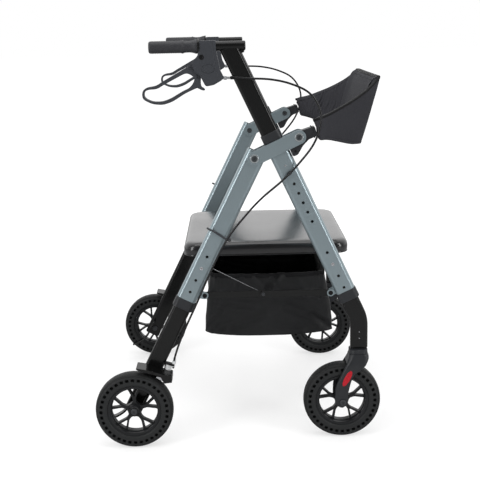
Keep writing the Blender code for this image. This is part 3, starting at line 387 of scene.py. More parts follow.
def speckle_group():
    """Fine flakes or grain in a colour, and a slow change of gloss over the surface."""
    tree, given, made = node_group(
        "speckle",
        [("Colour", COLOUR, (0.5, 0.5, 0.5, 1.0)), ("Spread", FLOAT, 0.1),
         ("Fineness", FLOAT, 900.0), ("Roughness", FLOAT, 0.4), ("Unevenness", FLOAT, 0.1)],
        [("Colour", COLOUR), ("Roughness", FLOAT), ("Height", FLOAT)],
    )
    fine = wired(tree, "TexNoise", {"Vector": place_of(tree), "Scale": given["Fineness"],
                                    "Detail": 2.0}).outputs["Fac"]
    slow = wired(tree, "TexNoise", {"Vector": place_of(tree), "Scale": 14.0,
                                    "Detail": 4.0}).outputs["Fac"]
    both = sums(tree, "MULTIPLY_ADD", slow, 0.6, fine)
    lift = sums(tree, "MULTIPLY", sums(tree, "SUBTRACT", both, 0.8), given["Spread"])
    swing = sums(tree, "MULTIPLY", sums(tree, "SUBTRACT", slow, 0.5), given["Unevenness"])
    feed(tree, made, {"Colour": scaled(tree, given["Colour"], sums(tree, "ADD", lift, 1.0)),
                      "Roughness": sums(tree, "ADD", swing, given["Roughness"]),
                      "Height": fine})
    return tree


def scuff_group():
    """Short rubbed marks that lighten a surface here and there."""
    tree, given, made = node_group(
        "scuffs",
        [("Colour", COLOUR, (0.5, 0.5, 0.5, 1.0)), ("Mark Colour", COLOUR, (0.7, 0.7, 0.7, 1.0)),
         ("Amount", FLOAT, 0.1), ("Stretch", VECTOR, (1.0, 1.0, 6.0))],
        [("Colour", COLOUR)],
    )
    drawn_out = wired(tree, "VectorMath", {0: place_of(tree), 1: given["Stretch"]},
                      operation="MULTIPLY").outputs[0]
    marks = wired(tree, "TexNoise", {"Vector": drawn_out, "Scale": 55.0, "Detail": 7.0,
                                     "Roughness": 0.7})
    mask = wired(tree, "MapRange", {"Value": marks.outputs["Fac"], "From Min": 0.62,
                                    "From Max": 0.76})
    share = sums(tree, "MULTIPLY", mask.outputs["Result"], given["Amount"])
    mix = wired(tree, "Mix", {"Factor": share, "A": given["Colour"], "B": given["Mark Colour"]},
                data_type="RGBA")
    feed(tree, made, {"Colour": mix.outputs["Result"]})
    return tree


SPECKLE = speckle_group()
SCUFFS = scuff_group()


def finish_of(name, colour, roughness, specular=0.5, metallic=0.0, spread=0.1, fineness=900.0,
              unevenness=0.1, bump=0.0, marks=None, amount=0.0, stretch=(1.0, 1.0, 6.0),
              coat=(0.0, 0.03)):
    """A speckled finish, with rubbed marks and a coat (weight, roughness) where given."""
    finish, tree, shader = new_material(name, {
        "Specular IOR Level": specular, "Metallic": metallic, "Coat Weight": coat[0],
        "Coat Roughness": coat[1],
    })
    grain = wired(tree, "Group", {
        "Colour": (*colour, 1.0), "Spread": spread, "Fineness": fineness,
        "Roughness": roughness, "Unevenness": unevenness,
    }, node_tree=SPECKLE).outputs
    tint = grain["Colour"]
    if marks:
        tint = wired(tree, "Group", {"Colour": tint, "Mark Colour": (*marks, 1.0),
                                     "Amount": amount, "Stretch": stretch},
                     node_tree=SCUFFS).outputs["Colour"]
    feed(tree, shader, {"Base Color": tint, "Roughness": grain["Roughness"]})
    if bump:
        feed(tree, shader, {"Normal": bumped(tree, grain["Height"], bump)})
    return finish


frame_paint = finish_of(
    "frame_paint", (0.305, 0.372, 0.400), 0.34, metallic=0.75, spread=0.12, fineness=1600.0,
    unevenness=0.03, bump=0.000002, marks=(0.42, 0.48, 0.52), amount=0.03, coat=(0.35, 0.10),
)
steel = finish_of("steel", (0.58, 0.59, 0.61), 0.26, metallic=1.0, spread=0.15, fineness=700.0,
                  bump=0.00003)


def leg_section(shrink):
    return rounded_box(LEG_DEPTH - 2 * shrink, LEG_WIDTH - 2 * shrink, LEG_CORNER - shrink, 8)


def ovals(levels):
    """Rings of the leg's section, each at its height and shrunk by its inset."""
    return [[Vector((x, y, z)) for x, y in leg_section(inset)] for z, inset in levels]


def oval_tube(lean, low, high, inset, wall):
    levels = ((low, inset), (high, inset), (high, inset + wall), (low, inset + wall))
    return placed(skin(ovals(levels), around=True), lean)


def leg_tube(lean, low, high, holes):
    """A leg with rows of holes (first, pitch, count) in its outer face."""
    cuts = []
    for first, pitch, count in holes:
        for i in range(count):
            cuts.append(placed(rod(HOLE, 0.008, 0.016, 20, (0.0, 0.0, first - i * pitch)), lean))
    return oval_tube(lean, low, high, 0.0, LEG_WALL), cuts, []


pair("rear_leg",
     lambda: leg_tube(REAR_LEG, REAR_LEG_BOTTOM, REAR_LEG_TOP, [(0.4166, FOOT_PITCH, 4)]),
     frame_paint, "rear_frame", ["rear_leg_{}"], edge=0.0006, steps=2)


# Screws and rivets: black steel screws with a hexagon socket, and plain silver bolts and rivets
# with a domed head, each seated on the face of the piece that it holds.
black_screw = finish_of("black_screw", (0.005, 0.005, 0.0055), 0.34, 0.30, spread=0.3,
                        bump=0.00003)
EAR_SCREW = (0.0056, 0.0024)  # radius and height
RAIL_BOLT = (0.0043, 0.0012)


def hexagon(radius, low, high, first=0.0):
    return plate([(radius * c, radius * s) for c, s in circle(6, first)], low, high)


@functools.cache
def screw_head(radius, height, finish):
    profile = [(radius * 0.98, -0.0004), (radius, 0.0), (radius, height * 0.65),
               (radius * 0.94, height * 0.86), (radius * 0.80, height)]
    mesh = worked("screw_head", turned(profile, 28),
                  [hexagon(radius * 0.5, height * 0.3, height * 2, 0.3)], edge=radius * 0.05,
                  steps=2)
    mesh.materials.append(finish)
    return mesh


@functools.cache
def button_head(radius, height, finish):
    profile = [(radius, -0.0004), (radius, height * 0.5), (radius * 0.92, height * 0.8),
               (radius * 0.62, height * 0.8), (radius * 0.55, height * 0.45),
               (radius * 0.30, height * 0.5), (radius * 0.06, height * 0.95)]
    mesh = worked("button_head", turned(profile, 28))
    mesh.materials.append(finish)
    return mesh


def heads(name, mesh, x, z, y, body, outward=1):
    """One screw head on both sides at (x, z), seated at y, facing outward or inward (-1)."""
    for side, sign in SIDES:
        turn = Matrix.Rotation(0.0 if sign * outward > 0 else math.pi, 4, "Z")
        place = Matrix.Translation((REAR_X + x, sign * y, z)) @ turn
        fitted(f"{name}_{side}", mesh, mesh.materials[0], body.format(side), slot="steel",
               place=place)


LINK_Z = 0.3695
REAR_LUG = ((LINK_Z - AXLE_Z) * math.tan(REAR_LEAN) + 0.0404, LINK_Z)
INNER_PLANE = (LEG_Y - 0.0013, LEG_Y + 0.0027)
OUTER_PLANE = (LEG_Y + 0.0030, LEG_Y + 0.0070)
LEG_SIDE = LEG_Y + LEG_WIDTH / 2


def ear(centre, root, y_low, y_high):
    """A rounded ear from a point on the leg's edge to the link's pivot."""
    middle = Vector(centre)
    reach = (middle - Vector(root)).normalized()
    side_way = Vector((-reach.y, reach.x))
    points = [Vector(root) - side_way * 0.0105, Vector(root) + side_way * 0.0105]
    facing = math.atan2(reach.y, reach.x)
    for i in range(13):
        angle = facing + math.pi / 2 - math.pi * i / 12
        points.append(middle + Vector((math.cos(angle), math.sin(angle))) * 0.009)
    return plate([(REAR_X + p.x, p.y) for p in points], y_low, y_high)


pair("rear_ear", lambda: ear(REAR_LUG, (0.160, 0.3745), *OUTER_PLANE), frame_paint, "rear_frame",
     edge=0.0009)
heads("rear_ear_screw", screw_head(*EAR_SCREW, black_screw), *REAR_LUG, OUTER_PLANE[1],
      "rear_frame")
heads("rear_rail_bolt", button_head(*RAIL_BOLT, steel), 0.1731, 0.4385, LEG_SIDE, "rear_frame")


# Front legs: the same painted tube leaning back, with a row of five holes for the handle's
# height, a row of four for the foot's height and an ear on the rear edge.
FRONT_ORIGIN = Vector((0.3574, 0.724))
SWIVEL_X = 0.552
BEND_Z = 0.30126
FRONT_LEAN = -math.atan2(SWIVEL_X - FRONT_ORIGIN.x, FRONT_ORIGIN.y - BEND_Z)
FRONT_LEG = (Matrix.Translation((REAR_X + FRONT_ORIGIN.x, LEG_Y, FRONT_ORIGIN.y))
             @ Matrix.Rotation(FRONT_LEAN, 4, "Y"))
FRONT_LEG_BOTTOM = -0.3860
FRONT_LUG = (FRONT_ORIGIN.x - (FRONT_ORIGIN.y - LINK_Z) * math.tan(FRONT_LEAN) - 0.0381, LINK_Z)
HANDLE_PITCH = 0.025


def on_front_leg(distance):
    """The place (x, z) at a distance along the front leg from its origin."""
    spot = FRONT_LEG @ Vector((0.0, 0.0, distance))
    return spot.x - REAR_X, spot.z


pair("front_leg",
     lambda: leg_tube(FRONT_LEG, FRONT_LEG_BOTTOM, 0.016,
                      [(-0.0945, HANDLE_PITCH, 5), (-0.279, FOOT_PITCH, 4)]),
     frame_paint, "frame", ["front_leg_{}"], edge=0.0006, steps=2)
pair("front_ear", lambda: ear(FRONT_LUG, (0.4975, 0.3760), *INNER_PLANE), frame_paint, "frame",
     edge=0.0009)


def washer(centre, radius, bore, low, thick):
    return turned([(bore, low), (radius, low), (radius, low + thick), (bore, low + thick)], 40,
                  (REAR_X + centre[0], 0.0, centre[1]), around=True)


pair("front_ear_washer",
     lambda: washer(FRONT_LUG, 0.0088, 0.0040, OUTER_PLANE[1] + 0.0003, 0.0012), frame_paint,
     "frame", edge=0.0003, steps=2)
heads("front_ear_screw", screw_head(*EAR_SCREW, black_screw), *FRONT_LUG,
      OUTER_PLANE[1] + 0.0015, "frame")
heads("front_rail_bolt", button_head(*RAIL_BOLT, steel), *on_front_leg(-0.311), LEG_SIDE, "frame")
heads("front_leg_rivet", button_head(0.0024, 0.0008, steel), *on_front_leg(-0.0465), LEG_SIDE,
      "frame")


# Top brackets: two pressed plates on each side that clasp both legs, painted like them, held
# by a pivot screw with a washer at each end.
BACK_PIVOT = Vector((0.4091, 0.7477))
END_STEPS = 16


def stadium(start, end, radius):
    """The outline of a bar with round ends about two points."""
    along_way = end - start
    facing = math.atan2(along_way.y, along_way.x)
    points = []
    for centre, turn in ((start, math.pi / 2), (end, -math.pi / 2)):
        for i in range(END_STEPS + 1):
            angle = facing + turn + math.pi * i / END_STEPS
            points.append((REAR_X + centre.x + radius * math.cos(angle),
                           centre.y + radius * math.sin(angle)))
    return points


PLATE_IN = 0.0128
PLATE_OUT = 0.0168
PIVOT_SCREW = 0.0072


def bracket_plates():
    outline = stadium(TOP_PIVOT, BACK_PIVOT, 0.0165)
    outer = plate(outline, LEG_Y + PLATE_IN, LEG_Y + PLATE_OUT)
    inner = plate(outline, LEG_Y - PLATE_OUT, LEG_Y - PLATE_IN)
    pins = [rod(0.005, LEG_Y - 0.0140, LEG_Y + 0.0140, 20, (REAR_X + p.x, 0.0, p.y))
            for p in (TOP_PIVOT, BACK_PIVOT)]
    return outer, [], [inner] + pins


pair("top_bracket", bracket_plates, frame_paint, "frame", ["top_bracket_{}"], edge=0.0009)
worn_rim = finish_of("worn_rim", (0.56, 0.60, 0.62), 0.24, metallic=0.9, spread=0.2,
                     bump=0.00003, marks=(0.7, 0.72, 0.74), amount=0.4)
pivot_steel = finish_of("pivot_steel", (0.060, 0.066, 0.070), 0.28, metallic=0.5, spread=0.3,
                        bump=0.00003, marks=(0.30, 0.31, 0.32), amount=0.3)
for label, pivot in (("lower", TOP_PIVOT), ("upper", BACK_PIVOT)):
    pair(f"{label}_pivot_washer",
         lambda: washer(pivot, 0.0104, 0.0050, LEG_Y + PLATE_OUT, 0.0012), worn_rim, "frame",
         slot="steel", edge=0.0006)
    heads(f"{label}_pivot_screw", screw_head(PIVOT_SCREW, 0.0032, pivot_steel), *pivot,
          LEG_Y + PLATE_OUT + 0.0008, "frame")
    heads(f"{label}_pivot_nut", screw_head(PIVOT_SCREW, 0.0030, pivot_steel), *pivot,
          LEG_Y - PLATE_OUT, "frame", outward=-1)


# Collars: black nylon sleeves on the ends of the legs, which guide the tubes inside them and
# cover the cut edges.
black_plastic = finish_of(
    "black_plastic", (0.0185, 0.0200, 0.0230), 0.40, 0.42, spread=0.25, fineness=1300.0,
    unevenness=0.14, bump=0.00010, marks=(0.12, 0.12, 0.13), amount=0.10,
)


def collar(lean, low, high, margin):
    """A sleeve that stands out from the leg by a margin and is drawn in at both ends."""
    levels = [(low + (high - low) * share, inset - margin)
              for share, inset in ((0.0, 0.0009), (0.05, 0.0), (0.95, 0.0), (1.0, 0.0009))]
    levels += [(high, LEG_WALL), (low, LEG_WALL)]
    return placed(skin(ovals(levels), around=True), lean)


for name, lean, low, high, margin, body in (
    ("handle_collar", FRONT_LEG, 0.0163, 0.0380, 0.0, "frame"),
    ("front_collar", FRONT_LEG, -0.4110, -0.3863, 0.0016, "frame"),
    ("rear_collar", REAR_LEG, 0.2730, 0.2977, 0.0016, "rear_frame"),
):
    pair(name, lambda: collar(lean, low, high, margin), black_plastic, body, [name + "_{}"])


# Lower legs: satin black inner tubes. The rear one runs straight down to the axle; the front
# one is bent upright over the caster and ends in a bearing cup.
black_tube = finish_of(
    "black_tube", (0.0036, 0.0038, 0.0038), 0.19, 0.37, spread=0.35, fineness=1200.0,
    unevenness=0.16, bump=0.00003, marks=(0.05, 0.05, 0.05), amount=0.12,
)
INNER = LEG_WALL + 0.0003
BEND_RADIUS = 0.080
BEND_STEPS = 12


def bore_at(x, z, radius, reach=0.03):
    """A rod across the leg, to cut a bore with."""
    return rod(radius, LEG_Y - reach, LEG_Y + reach, 20, (REAR_X + x, 0.0, z))


def rear_foot_tube():
    levels = ((-0.022, 0.003), (-0.0207, 0.0009), (-0.019, 0.0), (0.404, 0.0))
    rings = ovals([(z, INNER + inset) for z, inset in levels])
    tube = skin([[REAR_LEG @ point for point in ring] for ring in rings])
    return tube, [bore_at(0.0, AXLE_Z, 0.0051)], []


def front_foot_tube():
    run = Vector((SWIVEL_X - FRONT_ORIGIN.x, FRONT_ORIGIN.y - BEND_Z))
    tangent = BEND_RADIUS * math.tan(-FRONT_LEAN / 2)
    stops = [(*on_front_leg(-s), FRONT_LEAN, 0.0) for s in (0.280, run.length - tangent)]
    for step in range(1, BEND_STEPS + 1):
        angle = FRONT_LEAN * (1 - step / BEND_STEPS)
        stops.append((SWIVEL_X - BEND_RADIUS + BEND_RADIUS * math.cos(angle),
                      BEND_Z - tangent - BEND_RADIUS * math.sin(angle), angle, 0.0))
    stops += [(SWIVEL_X, 0.2290, 0.0, 0.0), (SWIVEL_X, 0.2275, 0.0, 0.0010)]
    rings = []
    for x, z, angle, inset in stops:
        level = Matrix.Translation((REAR_X + x, LEG_Y, z)) @ Matrix.Rotation(angle, 4, "Y")
        rings.append([level @ Vector((a, b, 0.0)) for a, b in leg_section(INNER + inset)])
    return skin(rings)


pair("rear_lower_leg", rear_foot_tube, black_tube, "rear_foot_{}", ["rear_lower_leg_{}"],
     edge=0.0004, steps=2)
pair("front_lower_leg", front_foot_tube, black_tube, "front_foot_{}", ["front_lower_leg_{}"])


def bearing_cup():
    levels = ((0.2255, 0.0030), (0.2262, 0.0014), (0.2276, 0.0014))
    return placed(skin(ovals([(z, INNER + inset) for z, inset in levels])),
                  Matrix.Translation((REAR_X + SWIVEL_X, LEG_Y, 0.0)))


pair("bearing_cup", bearing_cup, black_screw, "front_foot_{}", slot="black_plastic")
for label, z in (("upper", 0.2690), ("lower", 0.2530)):
    heads(f"{label}_foot_screw", button_head(0.0013, 0.0005, steel), SWIVEL_X, z,
          LEG_Y + 0.0098, "front_foot_{}")


# Handles: a black inner tube with a round bar welded across its top. The bar's front end is
# closed by a plug, and a ribbed rubber grip is pushed on the rear end.
BAR_Z = 0.9584
BAR_RADIUS = 0.011
BAR_REAR = 0.0740
BAR_FRONT = 0.2894
GRIP_REAR = 0.0686
GROOVES = 11
GROOVE_PITCH = 0.0052


def on_bar(profile, steps, x=0.0, around=False):
    """A shape turned round the handle's bar, from x on."""
    return turned(profile, steps, (REAR_X + x, LEG_Y, BAR_Z), "X", around)


def post_and_bar():
    top = (BAR_Z - 0.0024 - FRONT_ORIGIN.y) / math.cos(FRONT_LEAN)
    bar = on_bar([(0.0098, BAR_REAR), (BAR_RADIUS, BAR_REAR + 0.0012),
                  (BAR_RADIUS, BAR_FRONT - 0.0018), (0.0102, BAR_FRONT - 0.0004),
                  (0.0092, BAR_FRONT)], 40)
    gusset = leg_plate([(REAR_X + x, BAR_Z + z) for x, z in
                        ((0.2620, -0.0095), (0.2872, -0.0095), (0.2862, -0.0150),
                         (0.2770, -0.0180))], 0.0030)
    return oval_tube(FRONT_LEG, -0.140, top, INNER, 0.0022), [], [bar, gusset]


pair("handle_post", post_and_bar, black_tube, "handle_{}", ["handle_post_{}"], edge=0.0012)
pair("bar_plug",
     lambda: on_bar([(0.0070, 0.0), (0.0083, 0.0006), (0.0086, 0.0), (0.0086, -0.004)], 32,
                    BAR_FRONT - 0.0002),
     black_plastic, "handle_{}")

# The grip's light marks are partly rubbed wear and partly painted highlights, standing for the
# light lines on its ribs and ticks.
grip_rubber = finish_of(
    "grip_rubber", (0.026, 0.027, 0.031), 0.44, 0.40, spread=0.35, fineness=1500.0,
    unevenness=0.22, bump=0.00014, marks=(0.30, 0.30, 0.31), amount=0.22, stretch=(5.0, 2.0, 1.0),
)


def grip_sleeve():
    """The sleeve, with grooves across it and a flared collar at its front end."""
    profile = [(0.0060, 0.0000), (0.0105, 0.0002), (0.0128, 0.0016), (0.0138, 0.0042),
               (0.0140, 0.0080)]
    for i in range(GROOVES):
        x = 0.0130 + GROOVE_PITCH * i
        profile += [(0.0140, x - 0.0013), (0.0137, x - 0.0006), (0.0137, x + 0.0006),
                    (0.0140, x + 0.0013)]
    profile += [(0.0140, 0.0742), (0.0150, 0.0758), (0.0150, 0.0788), (0.0139, 0.0803),
                (0.0131, 0.0860), (0.0130, 0.0930), (0.0136, 0.0990), (0.0149, 0.1044),
                (0.0160, 0.1072), (0.0161, 0.1106), (0.0156, 0.1114), (0.0120, 0.1114)]
    return on_bar(profile, 48, GRIP_REAR)


pair("grip", grip_sleeve, grip_rubber, "handle_{}", ["grip_{}"])


# Brake housings: two nylon half shells screwed together under the bar. The lever's pivot is a
# screw through them, and the cable leaves at the front through a plated adjuster.
LEVER_PIVOT = Vector((0.1888, 0.9347))
HOUSING_HALF = 0.0130
SLOT_HALF = 0.0095
HOUSING = ((-0.0041, 0.0365), (0.0332, 0.0365), (0.0338, 0.0152), (0.0377, -0.0071),
           (0.0416, -0.0297), (0.0470, -0.0410), (0.0503, -0.0479), (0.0444, -0.0534),
           (0.0270, -0.0631), (0.0109, -0.0661), (0.0064, -0.0638), (-0.0044, -0.0421),
           (-0.0155, -0.0351), (-0.0239, -0.0135), (-0.0086, 0.0040))
SLOT = ((-0.0388, 0.0088), (0.0042, 0.0088), (0.0088, 0.0038), (0.0097, -0.0037),
        (0.0272, -0.0657), (0.0312, -0.0747), (-0.0388, -0.0747))


def eased(points, radius, steps=4):
    """The same outline with its corners rounded off."""
    corners = [Vector(point) for point in points]
    out = []
    for i, corner in enumerate(corners):
        before = corners[i - 1] - corner
        after = corners[(i + 1) % len(corners)] - corner
        start = corner + before.normalized() * min(radius, 0.45 * before.length)
        end = corner + after.normalized() * min(radius, 0.45 * after.length)
        for step in range(steps + 1):
            t = step / steps
            out.append(tuple(start * (1 - t) ** 2 + corner * 2 * t * (1 - t) + end * t * t))
    return out


def about_pivot(outline, radius, steps=4):
    moved = [(REAR_X + LEVER_PIVOT.x + x, LEVER_PIVOT.y + z) for x, z in outline]
    return eased(moved, radius, steps)


# Painted light: the housings and levers are the same black nylon as the collars and forks, drawn
# lighter because more light falls on them up at the handles.
housing_nylon = finish_of(
    "housing_nylon", (0.035, 0.038, 0.045), 0.42, 0.45, spread=0.25, fineness=1100.0,
    unevenness=0.12, bump=0.00005, marks=(0.16, 0.165, 0.175), amount=0.18,
)


def housing_shell():
    shape = leg_plate(about_pivot(HOUSING, 0.0032), HOUSING_HALF)
    slot_cut = leg_plate(about_pivot(SLOT, 0.002), SLOT_HALF)
    bore = on_bar([(BAR_RADIUS + 0.0003, 0.05), (BAR_RADIUS + 0.0003, 0.30)], 32)
    return shape, [slot_cut, bore], []


def housing_face():
    """The raised panel on the shell's outer face."""
    outline = ((-0.0025, 0.0340), (0.0250, 0.0340), (0.0256, 0.0150), (0.0292, -0.0080),
               (0.0330, -0.0300), (0.0372, -0.0440), (0.0330, -0.0570), (0.0250, -0.0608),
               (0.0118, -0.0636), (0.0080, -0.0622), (-0.0026, -0.0408), (-0.0136, -0.0340),
               (-0.0215, -0.0132), (-0.0070, 0.0034))
    return plate(about_pivot(outline, 0.0025), LEG_Y + 0.0110, LEG_Y + 0.0136)


def oval_boss():
    centre = LEVER_PIVOT + Vector((0.0144, -0.0256))
    levels = ((1.0, 0.0126), (1.0, 0.0140), (0.95, 0.0148), (0.88, 0.0148), (0.84, 0.0142))
    return skin([[(REAR_X + centre.x + 0.0150 * size * c, LEG_Y + y, centre.y + 0.0104 * size * s)
                  for c, s in circle(40)] for size, y in levels])


pair("brake_housing", housing_shell, housing_nylon, "handle_{}", ["brake_housing_{}"],
     "black_plastic", edge=0.0022, steps=4)
pair("housing_face", housing_face, housing_nylon, "handle_{}", slot="black_plastic", edge=0.0007,
     steps=2)
pair("housing_oval", oval_boss, housing_nylon, "handle_{}", slot="black_plastic")
heads("lever_pivot_screw", screw_head(0.0058, 0.0014, black_screw), *LEVER_PIVOT, LEG_Y + 0.0135,
      "handle_{}")
pair("grip_stop_ring",
     lambda: on_bar([(0.0113, 0.0), (0.0168, 0.0), (0.0172, 0.0006), (0.0172, 0.0030),
                     (0.0160, 0.0040), (0.0113, 0.0040)], 40, 0.1803, around=True),
     black_tube, "handle_{}")


# Brake levers: one nylon loop for each hand with a ribbed hub, hung on the housing's screw.
# A short tab behind the loop locks it down when the lever is pushed forward.
LEVER_OUTER = ((-0.0047, 0.0061), (-0.0274, -0.0184), (-0.0930, -0.0543), (-0.1070, -0.0631),
               (-0.1273, -0.0655), (-0.1363, -0.0717), (-0.1387, -0.0803), (-0.1380, -0.0893),
               (-0.1334, -0.0951), (-0.1153, -0.1041), (-0.0913, -0.1063), (-0.0694, -0.0994),
               (-0.0388, -0.0807), (-0.0114, -0.0688), (-0.0096, -0.0705), (0.0012, -0.0757),
               (0.0067, -0.0747), (0.0042, -0.0709), (-0.0028, -0.0667), (-0.0038, -0.0547),
               (-0.0008, -0.0347), (0.0062, -0.0057), (0.0074, 0.0008), (0.0052, 0.0055),
               (0.0002, 0.0075))
LEVER_LOOP = ((-0.0357, -0.0343), (-0.0892, -0.0612), (-0.1035, -0.0701), (-0.1240, -0.0706),
              (-0.1330, -0.0754), (-0.1343, -0.0847), (-0.1296, -0.0917), (-0.1146, -0.0985),
              (-0.0933, -0.0991), (-0.0733, -0.0922), (-0.0448, -0.0757), (-0.0286, -0.0693),
              (-0.0165, -0.0514), (-0.0207, -0.0422))
LEVER_HALF = 0.0090
CHANNELS = 3


def lever_loop():
    """The loop, with two shallow arcs and three channels sunk into both faces of its hub."""
    shape = leg_plate(about_pivot(LEVER_OUTER, 0.009), LEVER_HALF)
    cuts = [leg_plate(about_pivot(LEVER_LOOP, 0.010), 0.02)]
    for radius in (0.0262, 0.0300):
        arc = [(-0.0300 + (radius + extra) * math.cos(a), -0.0520 + (radius + extra) * math.sin(a))
               for extra, turns in ((-0.0008, range(9)), (0.0008, range(8, -1, -1)))
               for a in (math.radians(2 + 11 * k) for k in turns)]
        for low, high in ((0.0074, 0.02), (-0.02, -0.0074)):
            cuts.append(plate(about_pivot(arc, 0.0002, 1), LEG_Y + low, LEG_Y + high))
    for i in range(CHANNELS):
        x = -0.0125 + 0.0046 * i
        top = -0.0300 + 0.004 * i
        channel = ((x, -0.0480), (x + 0.0030, -0.0480), (x + 0.0044, top), (x + 0.0014, top))
        for low, high in ((0.0072, 0.02), (-0.02, -0.0072)):
            cuts.append(plate(about_pivot(channel, 0.001), LEG_Y + low, LEG_Y + high))
    return shape, cuts, []


pair("brake_lever", lever_loop, housing_nylon, "brake_lever_{}", ["brake_lever_{}"],
     "black_plastic", edge=0.0016)


# Brake cables: black sheathed cables in one loop from the housing down the outside of both
# legs, held by a clip on the front leg and a hook round the rear leg. Each is made as three
# stretches.
CABLE_RADIUS = 0.0025
cable_cover = finish_of("cable_cover", (0.0070, 0.0072, 0.0080), 0.26, 0.42, spread=0.2,
                        fineness=600.0, bump=0.00002)
CABLE_ROUTE = (
    (0.2402, 0.305, 0.8870), (0.2700, 0.314, 0.8874), (0.2980, 0.320, 0.8850),
    (0.3440, 0.322, 0.8820), (0.3890, 0.322, 0.8715), (0.4320, 0.322, 0.8500),
    (0.4560, 0.322, 0.8140), (0.4580, 0.322, 0.7755), (0.4410, 0.322, 0.7300),
    (0.4030, 0.320, 0.6820), (0.3680, 0.318, 0.6470), (0.3210, 0.318, 0.6080),
    (0.2850, 0.318, 0.5710), (0.2390, 0.317, 0.5140), (0.2000, 0.317, 0.4430),
    (0.1600, 0.317, 0.3560), (0.1240, 0.316, 0.2790), (0.1030, 0.310, 0.2230),
    (0.0955, 0.306, 0.1870),
)


def smooth_path(route, steps):
    """Points on a smooth curve through every point of the route."""
    pts = [Vector(point) for point in route]
    pts = [2 * pts[0] - pts[1]] + pts + [2 * pts[-1] - pts[-2]]
    out = []
    for a, b, c, d in zip(pts, pts[1:], pts[2:], pts[3:]):
        for step in range(steps):
            t = step / steps
            out.append(0.5 * (2 * b + (c - a) * t + (2 * a - 5 * b + 4 * c - d) * t ** 2
                              + (3 * b - a - 3 * c + d) * t ** 3))
    out.append(pts[-2])
    return out


def heading(path, i):
    """The way that an open path runs at its point i."""
    return (path[min(i + 1, len(path) - 1)] - path[max(i - 1, 0)]).normalized()


def hose(path, radius, steps=14):
    """A round cable along a path, without twist."""
    rings = []
    side_way = heading(path, 0).cross(Vector((0.0, 1.0, 0.0))).normalized()
    for i, point in enumerate(path):
        ahead = heading(path, i)
        side_way = (side_way - ahead * side_way.dot(ahead)).normalized()
        third = ahead.cross(side_way)
        rings.append([point + (side_way * c + third * s) * radius for c, s in circle(steps)])
    return skin(rings)


def on_side(sign, points):
    return [Vector((REAR_X + p.x, sign * p.y, p.z)) for p in points]


ROUTE_STEPS = 8
for side, sign in SIDES:
    for label, first, last, one, two, solids in (
        ("upper", 0, 10, f"handle_{side}", "frame", [f"brake_cable_{side}"]),
        ("middle", 10, 13, "frame", "rear_frame", []),
        ("lower", 13, 18, "rear_frame", f"rear_foot_{side}", []),
    ):
        path = smooth_path(CABLE_ROUTE, ROUTE_STEPS)[first * ROUTE_STEPS:last * ROUTE_STEPS + 1]
        path = on_side(sign, path)
        cable_piece = fitted(f"cable_{label}_{side}", worked("cable", hose(path, CABLE_RADIUS)),
                             cable_cover, None, solids)
        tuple(path[0])
        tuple(path[-1])
        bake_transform(cable_piece)


def knurled(profile, steps, cut_depth):
    """A turned sleeve whose rim is cut into ridges."""
    rings = []
    for k, (radius, x) in enumerate(profile):
        cut = cut_depth if 0 < k < len(profile) - 1 else 0.0
        rings.append([(x, (radius - cut * (i % 2)) * c, (radius - cut * (i % 2)) * s)
                      for i, (c, s) in enumerate(circle(steps))])
    return skin(rings)


def adjuster():
    tilt = Matrix.Translation((REAR_X + 0.2380, 0.3045, 0.8868)) @ Matrix.Rotation(0.28, 4, "Z")
    nut = knurled([(0.0040, 0.0), (0.0046, 0.0006), (0.0046, 0.0064), (0.0040, 0.0070)], 32, 0.0006)
    threads = [(0.0033 if i % 2 == 0 else 0.0028, 0.0075 + 0.001 * i) for i in range(7)]
    screw = turned([(0.0030, 0.006), *threads, (0.0031, 0.0165)], 24, axis="X")
    return placed(nut, tilt), [], [placed(screw, tilt)]


def cable_boot():
    tilt = Matrix.Translation((REAR_X + 0.2540, 0.3092, 0.8870)) @ Matrix.Rotation(0.29, 4, "Z")
    return placed(turned([(0.0027, 0.0), (0.0042, 0.0004), (0.0040, 0.0060), (0.0028, 0.0110)],
                         20, axis="X"), tilt)


def cable_clip():
    """A small clip screwed to the front leg, round the cable."""
    centre = (REAR_X + 0.3860, 0.3188, 0.6645)
    lean = Matrix.Translation(centre) @ Matrix.Rotation(math.radians(-43), 4, "Y")
    band = turned([(0.0026, -0.0035), (0.0040, -0.0035), (0.0040, 0.0035), (0.0026, 0.0035)],
                  24, axis="Z", around=True)
    foot = plate([(-0.0060, -0.0035), (-0.0060, 0.0035), (0.0040, 0.0035), (0.0040, -0.0035)],
                 -0.0071, -0.0024)
    return placed(band, lean), [], [placed(foot, lean)]


def leg_hook():
    """A bent wire hook: round the front of the rear leg, with its tail beyond the rear edge."""
    points = ((0.1905, 0.3190, 0.5390), (0.1950, 0.3225, 0.5365), (0.2050, 0.3150, 0.5300),
              (0.2170, 0.3146, 0.5215), (0.2300, 0.3150, 0.5125), (0.2375, 0.3150, 0.5080),
              (0.2420, 0.3165, 0.5060), (0.2440, 0.3200, 0.5090), (0.2410, 0.3215, 0.5140))
    return hose(on_side(1, smooth_path(points, 5)), CABLE_RADIUS, 12)


dark_wire = finish_of("dark_wire", (0.045, 0.047, 0.052), 0.30, metallic=0.3, spread=0.2,
                      fineness=700.0, bump=0.00002)
pair("cable_adjuster", adjuster, steel, "handle_{}")
pair("cable_boot", cable_boot, black_tube, "handle_{}")
pair("cable_clip", cable_clip, black_plastic, "frame", edge=0.0005, steps=2)
pair("leg_hook", leg_hook, dark_wire, "rear_frame", slot="steel")
heads("leg_hook_rivet", button_head(0.0026, 0.0012, steel), 0.2425, 0.5068, LEG_Y + 0.0182,
      "rear_frame")


